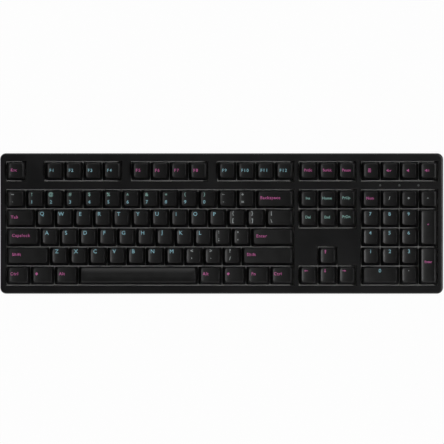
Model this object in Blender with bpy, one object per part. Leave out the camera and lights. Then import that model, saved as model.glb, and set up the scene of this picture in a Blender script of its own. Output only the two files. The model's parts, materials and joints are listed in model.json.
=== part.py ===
"""Full-size mechanical keyboard.

A two-part plastic case holds a steel switch plate and a circuit board with its soldered switches.
Sculpted keycaps travel on the switches, a bent wire keeps the spacebar level, and two feet fold out
of the underside. The key deck is a plane tilted towards the user: an empty carries it, and what lies
on that plane is placed in its frame (x to the right, y to the back, z away from the plate's top).
"""

import math

import bmesh
import bpy
from mathutils import Vector

# Key grid
KEY_PITCH = 0.01905
KEY_GAP = 0.00095
FIELD_UNITS_WIDE = 22.5
FUNCTION_ROW_GAP_UNITS = 0.47
ROWS_BELOW_FUNCTION_ROW = 5
TYPING_ANGLE_DEG = 5.4

# Keycaps
KEY_WALL = 0.0013
KEY_TOP_THICKNESS = 0.0016
KEY_TOP_SIDE_INSET = 0.0024
KEY_TOP_FRONT_INSET = 0.0036
KEY_TOP_BACK_INSET = 0.0005
KEY_DISH_DEPTH = 0.0005
KEY_DISH_STRIPS = 4
SPACEBAR_CROWN = 0.0016
KEY_LIFT = 0.0062  # rim of a released keycap above the plate
KEY_TRAVEL = 0.0040

# Height of a keycap in each row, and the forward tilt of its top
BACK_ROWS_HEIGHT = 0.0112
BACK_ROWS_TILT_DEG = -3.0
UPPER_ROW_HEIGHT = 0.0098
UPPER_ROW_TILT_DEG = 1.0
HOME_ROW_HEIGHT = 0.0092
HOME_ROW_TILT_DEG = 5.0
LOWER_ROW_HEIGHT = 0.0093
LOWER_ROW_TILT_DEG = 7.0
FRONT_ROW_HEIGHT = 0.0094
FRONT_ROW_TILT_DEG = 8.0

# Bars that tie the keycaps of one bank together, under the skirts
BRIDGE_WIDTH = 0.0040
BRIDGE_HEIGHT = 0.0010
BRIDGE_LIFT = 0.0004
BRIDGE_BITE = 0.0009

# Switches
STEM_WIDTH = 0.0056
STEM_DEPTH = 0.0046
STEM_REACH = 0.0036  # below the keycap's rim
STEM_CLEARANCE = 0.0003
STEM_FLOOR_GAP = 0.0006  # left under a stem at the end of its travel
HOUSING_SIZE = 0.0136
HOUSING_TOP_SIZE = 0.0104
HOUSING_HEIGHT = 0.0060  # above the plate's top
HOUSING_SHOULDER = 0.0003
SOLDER_DEPTH = 0.0006

# Plate and board
PLATE_THICKNESS = 0.0015
PLATE_EDGE_GAP = 0.0006
CUTOUT_CLEARANCE = 0.0002
PLATE_TO_BOARD = 0.0050  # plate's top to the board's top
BOARD_THICKNESS = 0.0016
BOARD_MARGIN = 0.0020
BOARD_FLOOR_GAP = 0.0035  # under the board's front edge
CHIP_SIZE = 0.0090
CHIP_HEIGHT = 0.0012

# Case
SIDE_BORDER = 0.0059
END_BORDER = 0.0085
FIELD_SHIFT = 0.0005  # middle of the keys, to the right of the case's middle
CASE_CORNER_RADIUS = 0.0060
CASE_CORNER_STEPS = 5
CASE_EDGE_ROUND = 0.0020
FLOOR_EDGE_ROUND = 0.0014
CASE_EDGE_STEPS = 2
CASE_WALL = 0.0025
FLOOR_THICKNESS = 0.0025
DECK_HEIGHT = 0.0080  # case top above the plate's top
DECK_THICKNESS = 0.0022
OPENING_MARGIN = 0.0002
SEAT_GAP = 0.0003  # between pieces that rest on each other
RIB_WIDTH = 0.0100
RIBS_PER_WALL = 7
RIB_BOARD_CLEARANCE = 0.0006

# Indicator lights
LIGHT_COUNT = 3
LIGHT_RADIUS = 0.0009
LIGHT_CLEARANCE = 0.0002
LIGHT_BAR_DEPTH = 0.0040
LIGHT_BAR_THICKNESS = 0.0010
LIGHT_BAR_END = 0.0030

# Rubber pads
PAD_WIDTH = 0.0400
PAD_DEPTH = 0.0100
PAD_THICKNESS = 0.0018
PAD_PROUD = 0.0010
PAD_CORNER_RADIUS = 0.0030
PAD_CORNER_STEPS = 3
PAD_END_INSET = 0.0150  # pad centre from the case's front or back
FRONT_PAD_SIDE_INSET = 0.0450
BACK_PAD_SIDE_INSET = 0.1100

# Fold-out feet
FOOT_WIDTH = 0.0450
FOOT_LENGTH = 0.0180  # hinge axis to tip
FOOT_THICKNESS = 0.0040
FOOT_TIP_ROUND = 0.0010
FOOT_HEEL_STEPS = 6
FOOT_SIDE_INSET = 0.0450
FOOT_BACK_INSET = 0.0130  # hinge axis from the case's back
FOOT_RECESS = 0.0003
FOOT_CLEARANCE = 0.0006
FOOT_FINGER_GAP = 0.0070
FOOT_PIN_RADIUS = 0.0012
FOOT_PIN_REACH = 0.0018
FOOT_PIN_CLEARANCE = 0.0002
POCKET_WALL = 0.0035
POCKET_ROOF = 0.0015

# Cable socket
SOCKET_WIDTH = 0.0090
SOCKET_HEIGHT = 0.0032
SOCKET_LENGTH = 0.0074
SOCKET_WALL = 0.0004
SOCKET_CORNER_RADIUS = 0.0014
SOCKET_SIDE_OFFSET = -0.0920
SOCKET_SETBACK = 0.0055  # socket mouth behind the case's back
PLUG_OPENING_WIDTH = 0.0130
PLUG_OPENING_HEIGHT = 0.0074
PLUG_OPENING_ROUND = 0.0020

# Stabiliser wire
WIRE_RADIUS = 0.0006
WIRE_SPAN = 0.1000
WIRE_ARM = 0.0070
WIRE_BEND_RADIUS = 0.0018
WIRE_BEND_STEPS = 3
WIRE_SEAT_GAP = 0.0003
WIRE_SWITCH_CLEARANCE = 0.0002
POST_SIZE = 0.0036
POST_GAP = 0.0004
CUT_EXTRA = 0.0020  # how far a cutter runs past a wall

# Sizes worked out from those above
TILT = math.radians(TYPING_ANGLE_DEG)
ROW_PROFILES = (
    (BACK_ROWS_HEIGHT, BACK_ROWS_TILT_DEG),
    (BACK_ROWS_HEIGHT, BACK_ROWS_TILT_DEG),
    (UPPER_ROW_HEIGHT, UPPER_ROW_TILT_DEG),
    (HOME_ROW_HEIGHT, HOME_ROW_TILT_DEG),
    (LOWER_ROW_HEIGHT, LOWER_ROW_TILT_DEG),
    (FRONT_ROW_HEIGHT, FRONT_ROW_TILT_DEG),
)
ROW_STARTS = (0.0,) + tuple(1.0 + FUNCTION_ROW_GAP_UNITS + n for n in range(ROWS_BELOW_FUNCTION_ROW))
FIELD_UNITS_DEEP = 1.0 + FUNCTION_ROW_GAP_UNITS + ROWS_BELOW_FUNCTION_ROW
FIELD_WIDTH = FIELD_UNITS_WIDE * KEY_PITCH
FIELD_DEPTH = FIELD_UNITS_DEEP * KEY_PITCH
CASE_WIDTH = FIELD_WIDTH + 2 * SIDE_BORDER
CASE_DEPTH = FIELD_DEPTH * math.cos(TILT) + 2 * END_BORDER
CASE_BOTTOM = PAD_PROUD
FLOOR_TOP = CASE_BOTTOM + FLOOR_THICKNESS
INNER_RADIUS = max(CASE_CORNER_RADIUS - CASE_WALL, CASE_WALL / 5)
DECK_Y = DECK_HEIGHT * math.sin(TILT)  # centres the openings in the case's top
BOARD_HALF_DEPTH = FIELD_DEPTH / 2 + BOARD_MARGIN
BOARD_STACK = PLATE_TO_BOARD + BOARD_THICKNESS
DECK_Z = (
    FLOOR_TOP + BOARD_FLOOR_GAP + BOARD_HALF_DEPTH * math.sin(TILT) + BOARD_STACK * math.cos(TILT)
)
POCKET_FLOOR = STEM_REACH + KEY_TRAVEL - KEY_LIFT + STEM_FLOOR_GAP  # below the plate's top
HINGE_Y = CASE_DEPTH / 2 - FOOT_BACK_INSET
HINGE_Z = CASE_BOTTOM + FOOT_RECESS + FOOT_THICKNESS / 2
WIRE_TO_SWITCH = HOUSING_SIZE / 2 + WIRE_RADIUS + WIRE_SWITCH_CLEARANCE  # wire axis in front of the switch
WIRE_LIFT = WIRE_SEAT_GAP + WIRE_RADIUS  # wire axis above the plate's top
WIRE_RISE = math.asin(min(0.9, (KEY_TRAVEL + WIRE_RADIUS / 2) / WIRE_ARM))  # arms at rest


def key_run(row, left, widths, units_deep=1):
    """Keys side by side in one row, as (row, left edge, width, depth) in key units."""
    keys = []
    for width in widths:
        keys.append((row, left, width, units_deep))
        left += width
    return keys


LETTER_RUNS = ((2, 1.5, "qwertyuiop"), (3, 1.75, "asdfghjkl"), (4, 2.25, "zxcvbnm"))

KEY_NODES = {
    "escape_key": key_run(0, 0, [1]),
    "f1_to_f4_keys": key_run(0, 2, [1] * 4),
    "f5_to_f8_keys": key_run(0, 6.5, [1] * 4),
    "f9_to_f12_keys": key_run(0, 11, [1] * 4),
    "system_keys": key_run(0, 15.25, [1] * 3),
    "media_keys": key_run(0, 18.5, [1] * 4),
    "number_keys": key_run(1, 0, [1] * 13),
    "backspace_key": key_run(1, 13, [2]),
    "tab_key": key_run(2, 0, [1.5]),
    "caps_lock_key": key_run(3, 0, [1.75]),
    "enter_key": key_run(3, 12.75, [2.25]),
    "left_shift_key": key_run(4, 0, [2.25]),
    "left_modifier_keys": key_run(5, 0, [1.25] * 3),
    "spacebar": key_run(5, 3.75, [6.25]),
    "right_modifier_keys": key_run(5, 10, [1.25] * 4),
    "bracket_keys": key_run(2, 11.5, [1, 1, 1.5]),
    "semicolon_and_quote_keys": key_run(3, 10.75, [1, 1]),
    "comma_to_right_shift_keys": key_run(4, 9.25, [1, 1, 1, 2.75]),
    "navigation_keys": key_run(1, 15.25, [1] * 3) + key_run(2, 15.25, [1] * 3),
    "arrow_keys": key_run(4, 16.25, [1]) + key_run(5, 15.25, [1] * 3),
    "numpad_keys": key_run(1, 18.5, [1] * 4)
    + key_run(2, 18.5, [1] * 3)
    + key_run(2, 21.5, [1], 2)
    + key_run(3, 18.5, [1] * 3)
    + key_run(4, 18.5, [1] * 3)
    + key_run(4, 21.5, [1], 2)
    + key_run(5, 18.5, [2, 1]),
}
for letter_row, letter_left, letters in LETTER_RUNS:
    for place, letter in enumerate(letters):
        KEY_NODES["key_" + letter] = key_run(letter_row, letter_left + place, [1])

# Openings in the case's top, as (first row, left edge, width, depth) in key units
DECK_OPENINGS = (
    (0, 0, 1, 1),
    (0, 2, 4, 1),
    (0, 6.5, 4, 1),
    (0, 11, 4, 1),
    (0, 15.25, 3, 1),
    (0, 18.5, 4, 1),
    (1, 0, 15, 5),
    (1, 15.25, 3, 2),
    (4, 16.25, 1, 1),
    (5, 15.25, 3, 1),
    (1, 18.5, 4, 5),
)
LIGHT_FIRST_UNITS = 19.5  # first light's place, on the boundary between two number-pad columns


# Scene helpers
def clear_scene():
    for obj in list(bpy.data.objects):
        bpy.data.objects.remove(obj, do_unlink=True)


def new_collection(name):
    collection = bpy.data.collections.new(name)
    bpy.context.scene.collection.children.link(collection)
    return collection


def plain_material(name, colour, roughness, metallic=0.0):
    made = bpy.data.materials.new(name)
    made.use_nodes = True
    shader = made.node_tree.nodes["Principled BSDF"]
    shader.inputs["Base Color"].default_value = (*colour, 1.0)
    shader.inputs["Roughness"].default_value = roughness
    shader.inputs["Metallic"].default_value = metallic
    made.diffuse_color = (*colour, 1.0)
    return made


def mesh_of(name, bm):
    mesh = bpy.data.meshes.new(name)
    bmesh.ops.recalc_face_normals(bm, faces=bm.faces)
    bm.to_mesh(mesh)
    bm.free()
    return mesh


def place(name, data, collection, material=None, parent=None, location=(0, 0, 0), rotation=(0, 0, 0)):
    obj = bpy.data.objects.new(name, data)
    collection.objects.link(obj)
    if material is not None:
        data.materials.clear()
        data.materials.append(material)
    obj.parent = parent
    obj.location = location
    obj.rotation_euler = rotation
    return obj


def cutter(name, bm, parent=None, location=(0, 0, 0), rotation=(0, 0, 0)):
    obj = place(name, mesh_of(name, bm), helpers, None, parent, location, rotation)
    obj.hide_render = True
    obj.display_type = "WIRE"
    return obj


def boolean(obj, other, operation):
    modifier = obj.modifiers.new(operation.lower() + "_" + other.name, "BOOLEAN")
    modifier.operation = operation
    modifier.solver = "EXACT"
    modifier.object = other


# Shapes
def box(low, high, bm=None):
    """A box between two corners, added to bm or alone."""
    bm = bm or bmesh.new()
    low, high = Vector(low), Vector(high)
    made = bmesh.ops.create_cube(bm, size=1)["verts"]
    for vert in made:
        vert.co = (low + high) / 2 + (high - low) * vert.co
    return bm


def centred_box(width, depth, low, high, x=0.0, y=0.0, bm=None):
    return box((x - width / 2, y - depth / 2, low), (x + width / 2, y + depth / 2, high), bm)


def cylinder(radius, low, high, x=0.0, y=0.0, sides=12, bm=None):
    bm = bm or bmesh.new()
    made = bmesh.ops.create_cone(
        bm, cap_ends=True, segments=sides, radius1=radius, radius2=radius, depth=high - low
    )["verts"]
    bmesh.ops.translate(bm, vec=(x, y, (low + high) / 2), verts=made)
    return bm


def edges_along(bm, axis, chosen=lambda middle: True):
    """Edges parallel to an axis whose middle is chosen."""
    found = []
    for edge in bm.edges:
        start, end = (vert.co for vert in edge.verts)
        across = [abs((end - start)[n]) for n in range(3) if n != axis]
        if max(across) < 1e-7 and chosen((start + end) / 2):
            found.append(edge)
    return found


def round_edges(bm, edges, radius, steps):
    bmesh.ops.bevel(
        bm, geom=edges, offset=radius, segments=steps, profile=0.5, affect="EDGES", clamp_overlap=True
    )


def slanted_prism(half_width, half_depth, radius, low, high, low_round=0.0, high_round=0.0):
    """A rounded rectangle with upright walls, between two surfaces given as heights over y."""
    bm = box((-half_width, -half_depth, 0), (half_width, half_depth, 1))
    round_edges(bm, edges_along(bm, 2), radius, CASE_CORNER_STEPS)
    bm.normal_update()
    rings = {0: [], 1: []}
    for edge in bm.edges:
        levels = {round(vert.co.z) for vert in edge.verts}
        if len(levels) == 1:
            rings[levels.pop()].append(edge)
    for vert in bm.verts:
        vert.co.z = high(vert.co.y) if vert.co.z > 0.5 else low(vert.co.y)
    for level, amount in ((0, low_round), (1, high_round)):
        if amount > 0:
            round_edges(bm, rings[level], amount, CASE_EDGE_STEPS)
    return bm


def sink_face(bm, face, half_x, half_y, z, centre=(0.0, 0.0)):
    """Steps a four-sided face in or out to a rectangle at height z, with side walls, and returns it."""
    middle = face.calc_center_median()
    bmesh.ops.inset_individual(bm, faces=[face], thickness=min(half_x, half_y) * 1e-3)
    for vert in face.verts:
        vert.co.x = centre[0] + math.copysign(half_x, vert.co.x - middle.x)
        vert.co.y = centre[1] + math.copysign(half_y, vert.co.y - middle.y)
        vert.co.z = z
    return face


def facing(bm, direction):
    """The face that looks most along a direction."""
    bm.normal_update()
    return max(bm.faces, key=lambda face: face.normal.dot(Vector(direction)))


# Places on the key deck
def key_centre(key):
    row, left, width, deep = key
    x = (left + width / 2) * KEY_PITCH - FIELD_WIDTH / 2
    y = FIELD_DEPTH / 2 - (ROW_STARTS[row] + deep / 2) * KEY_PITCH
    return x, y


def deck_height(offset):
    """World height over y of the plane that lies offset above the plate's top."""

    def height(y):
        return DECK_Z + (y - DECK_Y) * math.tan(TILT) + offset / math.cos(TILT)

    return height


def deck_y(along, above):
    """World y of a place on the deck."""
    return DECK_Y + along * math.cos(TILT) - above * math.sin(TILT)


# Keycaps
def keycap(key, crowned=False):
    """A hollow keycap with its stem, its rim at z 0 and its switch on the z axis."""
    row, _, units_wide, units_deep = key
    height, tilt = ROW_PROFILES[row]
    slope = math.tan(math.radians(tilt))
    half_x = (units_wide * KEY_PITCH - KEY_GAP) / 2
    half_y = (units_deep * KEY_PITCH - KEY_GAP) / 2
    top_half_x = half_x - KEY_TOP_SIDE_INSET
    top_front = -half_y + KEY_TOP_FRONT_INSET
    top_back = half_y - KEY_TOP_BACK_INSET
    top_middle = (top_front + top_back) / 2
    top_half_y = (top_back - top_front) / 2

    bm = box((-half_x, -half_y, 0), (half_x, half_y, height))
    rim = facing(bm, (0, 0, -1))
    top_face = facing(bm, (0, 0, 1))
    across, offset = (1, top_middle) if crowned else (0, 0.0)
    lines = [e for e in top_face.edges if abs((e.verts[0].co - e.verts[1].co)[across]) > 1e-6]
    for vert in top_face.verts:
        vert.co.x = math.copysign(top_half_x, vert.co.x)
        vert.co.y = top_back if vert.co.y > 0 else top_front
    bmesh.ops.subdivide_edges(bm, edges=lines, cuts=KEY_DISH_STRIPS - 1, use_grid_fill=True)
    reach = top_half_y if crowned else top_half_x
    bend = SPACEBAR_CROWN if crowned else -KEY_DISH_DEPTH
    for vert in bm.verts:
        if vert.co.z > height / 2:
            share = (vert.co[across] - offset) / reach
            vert.co.z = height - (vert.co.y - top_middle) * slope + bend * (1 - share * share)

    lowest = height - top_half_y * abs(slope) + min(bend, 0.0)
    ceiling = lowest - KEY_TOP_THICKNESS
    rise = ceiling / height
    inner_half_x = half_x - KEY_TOP_SIDE_INSET * rise - KEY_WALL
    inner_front = -half_y + KEY_TOP_FRONT_INSET * rise + KEY_WALL
    inner_back = half_y - KEY_TOP_BACK_INSET * rise - KEY_WALL
    sink_face(bm, rim, half_x - KEY_WALL, half_y - KEY_WALL, 0.0)
    sink_face(
        bm,
        rim,
        inner_half_x,
        (inner_back - inner_front) / 2,
        ceiling,
        (0.0, (inner_back + inner_front) / 2),
    )
    sink_face(bm, rim, STEM_WIDTH / 2, STEM_DEPTH / 2, ceiling)
    sink_face(bm, rim, STEM_WIDTH / 2, STEM_DEPTH / 2, -STEM_REACH)
    return bm, ceiling


def shared_side(first, second):
    """Where two keys lie side by side: (x, y, runs along y), or None."""
    tops = [ROW_STARTS[k[0]] for k in (first, second)]
    bottoms = [top + k[3] for top, k in zip(tops, (first, second))]
    rights = [k[1] + k[2] for k in (first, second)]
    low_x, high_x = max(first[1], second[1]), min(rights)
    low_y, high_y = max(tops), min(bottoms)
    wide, deep = high_x - low_x, high_y - low_y
    if max(wide, deep) < 0.5 or abs(min(wide, deep)) > 1e-6:
        return None
    x = (low_x + high_x) / 2 * KEY_PITCH - FIELD_WIDTH / 2
    y = FIELD_DEPTH / 2 - (low_y + high_y) / 2 * KEY_PITCH
    return x, y, deep > wide


def bank_bridges(keys):
    """Bars between neighbouring keycaps, just enough of them to tie a whole bank together."""
    bm = bmesh.new()
    group = list(range(len(keys)))
    reach = KEY_GAP + 2 * BRIDGE_BITE
    for i, first in enumerate(keys):
        for j in range(i + 1, len(keys)):
            side = shared_side(first, keys[j])
            if side is None or group[i] == group[j]:
                continue
            x, y, upright = side
            width, depth = (reach, BRIDGE_WIDTH) if upright else (BRIDGE_WIDTH, reach)
            centred_box(width, depth, BRIDGE_LIFT, BRIDGE_LIFT + BRIDGE_HEIGHT, x, y, bm)
            old, new = group[j], group[i]
            group = [new if n == old else n for n in group]
    return bm


def stabiliser_posts(ceiling):
    """Two posts under the spacebar that stand on the ends of the wire's arms."""
    bm = bmesh.new()
    arm_top = WIRE_LIFT + WIRE_ARM * math.sin(WIRE_RISE) + WIRE_RADIUS
    low = arm_top + POST_GAP - KEY_LIFT
    y = -WIRE_TO_SWITCH + WIRE_ARM * math.cos(WIRE_RISE)
    for side in (-1, 1):
        centred_box(POST_SIZE, POST_SIZE, low, ceiling + KEY_TOP_THICKNESS / 2, side * WIRE_SPAN / 2, y, bm)
    return bm


def make_keys():
    for name, keys in KEY_NODES.items():
        if len(keys) == 1:
            make_single_key(name, keys[0])
        else:
            make_key_bank(name, keys)


def make_single_key(name, key):
    crowned = name == "spacebar"
    bm, ceiling = keycap(key, crowned)
    x, y = key_centre(key)
    obj = place(name, mesh_of(name, bm), parts, keycap_plastic, deck, (x, y, KEY_LIFT))
    if crowned:
        boolean(obj, cutter("spacebar_posts", stabiliser_posts(ceiling), deck, (x, y, KEY_LIFT)), "UNION")


def make_key_bank(name, keys):
    bank = bmesh.new()
    for key in keys:
        cap, _ = keycap(key)
        x, y = key_centre(key)
        bmesh.ops.translate(cap, vec=(x, y, 0), verts=cap.verts)
        mesh = mesh_of(name + "_cap", cap)
        bank.from_mesh(mesh)
        bpy.data.meshes.remove(mesh)
    obj = place(name, mesh_of(name, bank), parts, keycap_plastic, deck, (0, 0, KEY_LIFT))
    boolean(obj, cutter(name + "_bridges", bank_bridges(keys), deck, (0, 0, KEY_LIFT)), "UNION")


# Plate, board and switches
def every_key():
    return [key for keys in KEY_NODES.values() for key in keys]


def make_switch_plate():
    half_width = CASE_WIDTH / 2 - CASE_WALL - PLATE_EDGE_GAP
    half_depth = (CASE_DEPTH / 2 - CASE_WALL) / math.cos(TILT) - PLATE_EDGE_GAP
    middle = -DECK_Y / math.cos(TILT)
    bm = box(
        (-half_width - FIELD_SHIFT, middle - half_depth, -PLATE_THICKNESS),
        (half_width - FIELD_SHIFT, middle + half_depth, 0),
    )
    round_edges(bm, edges_along(bm, 2), INNER_RADIUS, CASE_CORNER_STEPS)
    plate = place("switch_plate", mesh_of("switch_plate", bm), parts, plate_paint, deck)
    holes = bmesh.new()
    size = HOUSING_SIZE + 2 * CUTOUT_CLEARANCE
    for key in every_key():
        x, y = key_centre(key)
        centred_box(size, size, -PLATE_THICKNESS - CUT_EXTRA, CUT_EXTRA, x, y, holes)
    boolean(plate, cutter("plate_cutouts", holes, deck), "DIFFERENCE")


def switch_housing(x, y):
    """A switch's housing: a straight base through the plate, a tapered top and the stem's well."""
    base = -PLATE_TO_BOARD - SOLDER_DEPTH
    bm = centred_box(HOUSING_SIZE, HOUSING_SIZE, base, HOUSING_SHOULDER, x, y)
    face = facing(bm, (0, 0, 1))
    well_x = STEM_WIDTH / 2 + STEM_CLEARANCE
    well_y = STEM_DEPTH / 2 + STEM_CLEARANCE
    top = HOUSING_TOP_SIZE / 2
    for half_x, half_y, z in (
        (top, top, HOUSING_HEIGHT),
        (well_x, well_y, HOUSING_HEIGHT),
        (well_x, well_y, -POCKET_FLOOR),
    ):
        sink_face(bm, face, half_x, half_y, z, (x, y))
    return bm


def make_circuit_board():
    low = -PLATE_TO_BOARD - BOARD_THICKNESS
    half_width = FIELD_WIDTH / 2
    bm = box((-half_width, -BOARD_HALF_DEPTH, low), (half_width, BOARD_HALF_DEPTH, -PLATE_TO_BOARD))
    board = place("circuit_board", mesh_of("circuit_board", bm), parts, board_laminate, deck)
    switches = bmesh.new()
    for key in every_key():
        housing = mesh_of("switch_housing", switch_housing(*key_centre(key)))
        switches.from_mesh(housing)
        bpy.data.meshes.remove(housing)
    boolean(board, cutter("switch_housings", switches, deck), "UNION")
    chip_y = FIELD_DEPTH / 2 - (1.0 + FUNCTION_ROW_GAP_UNITS / 2) * KEY_PITCH
    chip = centred_box(CHIP_SIZE, CHIP_SIZE, low - CHIP_HEIGHT, low + SOLDER_DEPTH, SOCKET_SIDE_OFFSET, chip_y)
    boolean(board, cutter("controller_chip", chip, deck), "UNION")


def socket_place():
    """Deck y of the socket's mouth and deck z of its middle, hung under the board."""
    z = -BOARD_STACK - SEAT_GAP - SOCKET_HEIGHT / 2
    mouth = CASE_DEPTH / 2 - SOCKET_SETBACK
    y = (mouth - DECK_Y + z * math.sin(TILT)) / math.cos(TILT)
    return y, z


def make_cable_socket():
    mouth, middle = socket_place()
    half_width, half_height = SOCKET_WIDTH / 2, SOCKET_HEIGHT / 2
    bm = box((-half_width, -half_height, 0), (half_width, half_height, SOCKET_LENGTH))
    round_edges(bm, edges_along(bm, 2), SOCKET_CORNER_RADIUS, CASE_EDGE_STEPS)
    socket = place(
        "usb_c_socket",
        mesh_of("usb_c_socket", bm),
        parts,
        socket_steel,
        deck,
        (SOCKET_SIDE_OFFSET, mouth - SOCKET_LENGTH, middle),
        (-math.pi / 2, 0, 0),
    )
    hollow = box(
        (-half_width + SOCKET_WALL, -half_height + SOCKET_WALL, SOCKET_WALL),
        (half_width - SOCKET_WALL, half_height - SOCKET_WALL, SOCKET_LENGTH + CUT_EXTRA),
    )
    round_edges(hollow, edges_along(hollow, 2), SOCKET_CORNER_RADIUS - SOCKET_WALL, CASE_EDGE_STEPS)
    mouth_cut = cutter("socket_hollow", hollow, deck, socket.location, socket.rotation_euler)
    boolean(socket, mouth_cut, "DIFFERENCE")


# Case
def make_top_case():
    seam = deck_height(-PLATE_THICKNESS)
    half_width, half_depth = CASE_WIDTH / 2, CASE_DEPTH / 2
    outer = slanted_prism(
        half_width,
        half_depth,
        CASE_CORNER_RADIUS,
        seam,
        deck_height(DECK_HEIGHT),
        high_round=CASE_EDGE_ROUND,
    )
    top = place("top_case", mesh_of("top_case", outer), parts, case_plastic)
    inner = slanted_prism(
        half_width - CASE_WALL,
        half_depth - CASE_WALL,
        INNER_RADIUS,
        deck_height(-PLATE_THICKNESS - CUT_EXTRA),
        deck_height(DECK_HEIGHT - DECK_THICKNESS),
    )
    boolean(top, cutter("top_case_hollow", inner), "DIFFERENCE")
    for number, opening in enumerate(DECK_OPENINGS):
        boolean(top, cutter(f"deck_opening_{number}", deck_opening(opening), deck), "DIFFERENCE")
    lights = bmesh.new()
    for x, y in light_places():
        cylinder(LIGHT_RADIUS + LIGHT_CLEARANCE, 0, DECK_HEIGHT + CUT_EXTRA, x, y, bm=lights)
    boolean(top, cutter("light_holes", lights, deck), "DIFFERENCE")


def deck_opening(opening):
    x, y = key_centre(opening)
    width = opening[2] * KEY_PITCH + 2 * OPENING_MARGIN
    depth = opening[3] * KEY_PITCH + 2 * OPENING_MARGIN
    return centred_box(width, depth, 0, DECK_HEIGHT + CUT_EXTRA, x, y)


def light_places():
    y = FIELD_DEPTH / 2 - (1.0 + FUNCTION_ROW_GAP_UNITS / 2) * KEY_PITCH
    return [((LIGHT_FIRST_UNITS + n) * KEY_PITCH - FIELD_WIDTH / 2, y) for n in range(LIGHT_COUNT)]


def make_light_guide():
    places = light_places()
    y = places[0][1]
    high = DECK_HEIGHT - DECK_THICKNESS - SEAT_GAP
    bar = box(
        (places[0][0] - LIGHT_BAR_END, y - LIGHT_BAR_DEPTH / 2, high - LIGHT_BAR_THICKNESS),
        (places[-1][0] + LIGHT_BAR_END, y + LIGHT_BAR_DEPTH / 2, high),
    )
    guide = place("indicator_light_guide", mesh_of("indicator_light_guide", bar), parts, clear_plastic, deck)
    pegs = bmesh.new()
    for x, _ in places:
        cylinder(LIGHT_RADIUS, high - LIGHT_BAR_THICKNESS / 2, DECK_HEIGHT, x, y, bm=pegs)
    boolean(guide, cutter("light_pegs", pegs, deck), "UNION")


def foot_x(side):
    return side * (CASE_WIDTH / 2 - FOOT_SIDE_INSET)


def pocket_box(extra_side, extra_top, low):
    """The box of a foot's pocket round its hinge axis, with walls added."""
    half_width = FOOT_WIDTH / 2 + FOOT_CLEARANCE + extra_side
    front = HINGE_Y - FOOT_LENGTH - FOOT_FINGER_GAP - extra_side
    back = HINGE_Y + FOOT_THICKNESS / 2 + FOOT_CLEARANCE + extra_side
    high = HINGE_Z + FOOT_THICKNESS / 2 + FOOT_CLEARANCE + extra_top
    return (-half_width, front, low), (half_width, back, high)


def pad_places():
    """Name, x and y of each rubber pad."""
    found = []
    for end, end_sign, inset in (("front", -1, FRONT_PAD_SIDE_INSET), ("back", 1, BACK_PAD_SIDE_INSET)):
        for side, side_sign in (("left", -1), ("right", 1)):
            x = side_sign * (CASE_WIDTH / 2 - inset)
            found.append((f"{end}_{side}_pad", x, end_sign * (CASE_DEPTH / 2 - PAD_END_INSET)))
    return found


def pad_shape(extra, low, high):
    bm = centred_box(PAD_WIDTH + 2 * extra, PAD_DEPTH + 2 * extra, low, high)
    round_edges(bm, edges_along(bm, 2), PAD_CORNER_RADIUS + extra, PAD_CORNER_STEPS)
    return bm


def plate_ribs():
    """Upright ribs on the front and back walls that carry the plate's edges."""
    bm = bmesh.new()
    wall = CASE_DEPTH / 2 - CASE_WALL / 2
    low = CASE_BOTTOM + FLOOR_THICKNESS / 2
    high = deck_height(DECK_HEIGHT)
    front = deck_y(-BOARD_HALF_DEPTH, -PLATE_TO_BOARD) - RIB_BOARD_CLEARANCE
    back = deck_y(BOARD_HALF_DEPTH, -BOARD_STACK) + RIB_BOARD_CLEARANCE
    step = FIELD_WIDTH / RIBS_PER_WALL
    for n in range(RIBS_PER_WALL):
        x = (n - (RIBS_PER_WALL - 1) / 2) * step
        box((x - RIB_WIDTH / 2, -wall, low), (x + RIB_WIDTH / 2, front, high(-wall)), bm)
        box((x - RIB_WIDTH / 2, back, low), (x + RIB_WIDTH / 2, wall, high(wall)), bm)
    return bm


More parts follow.
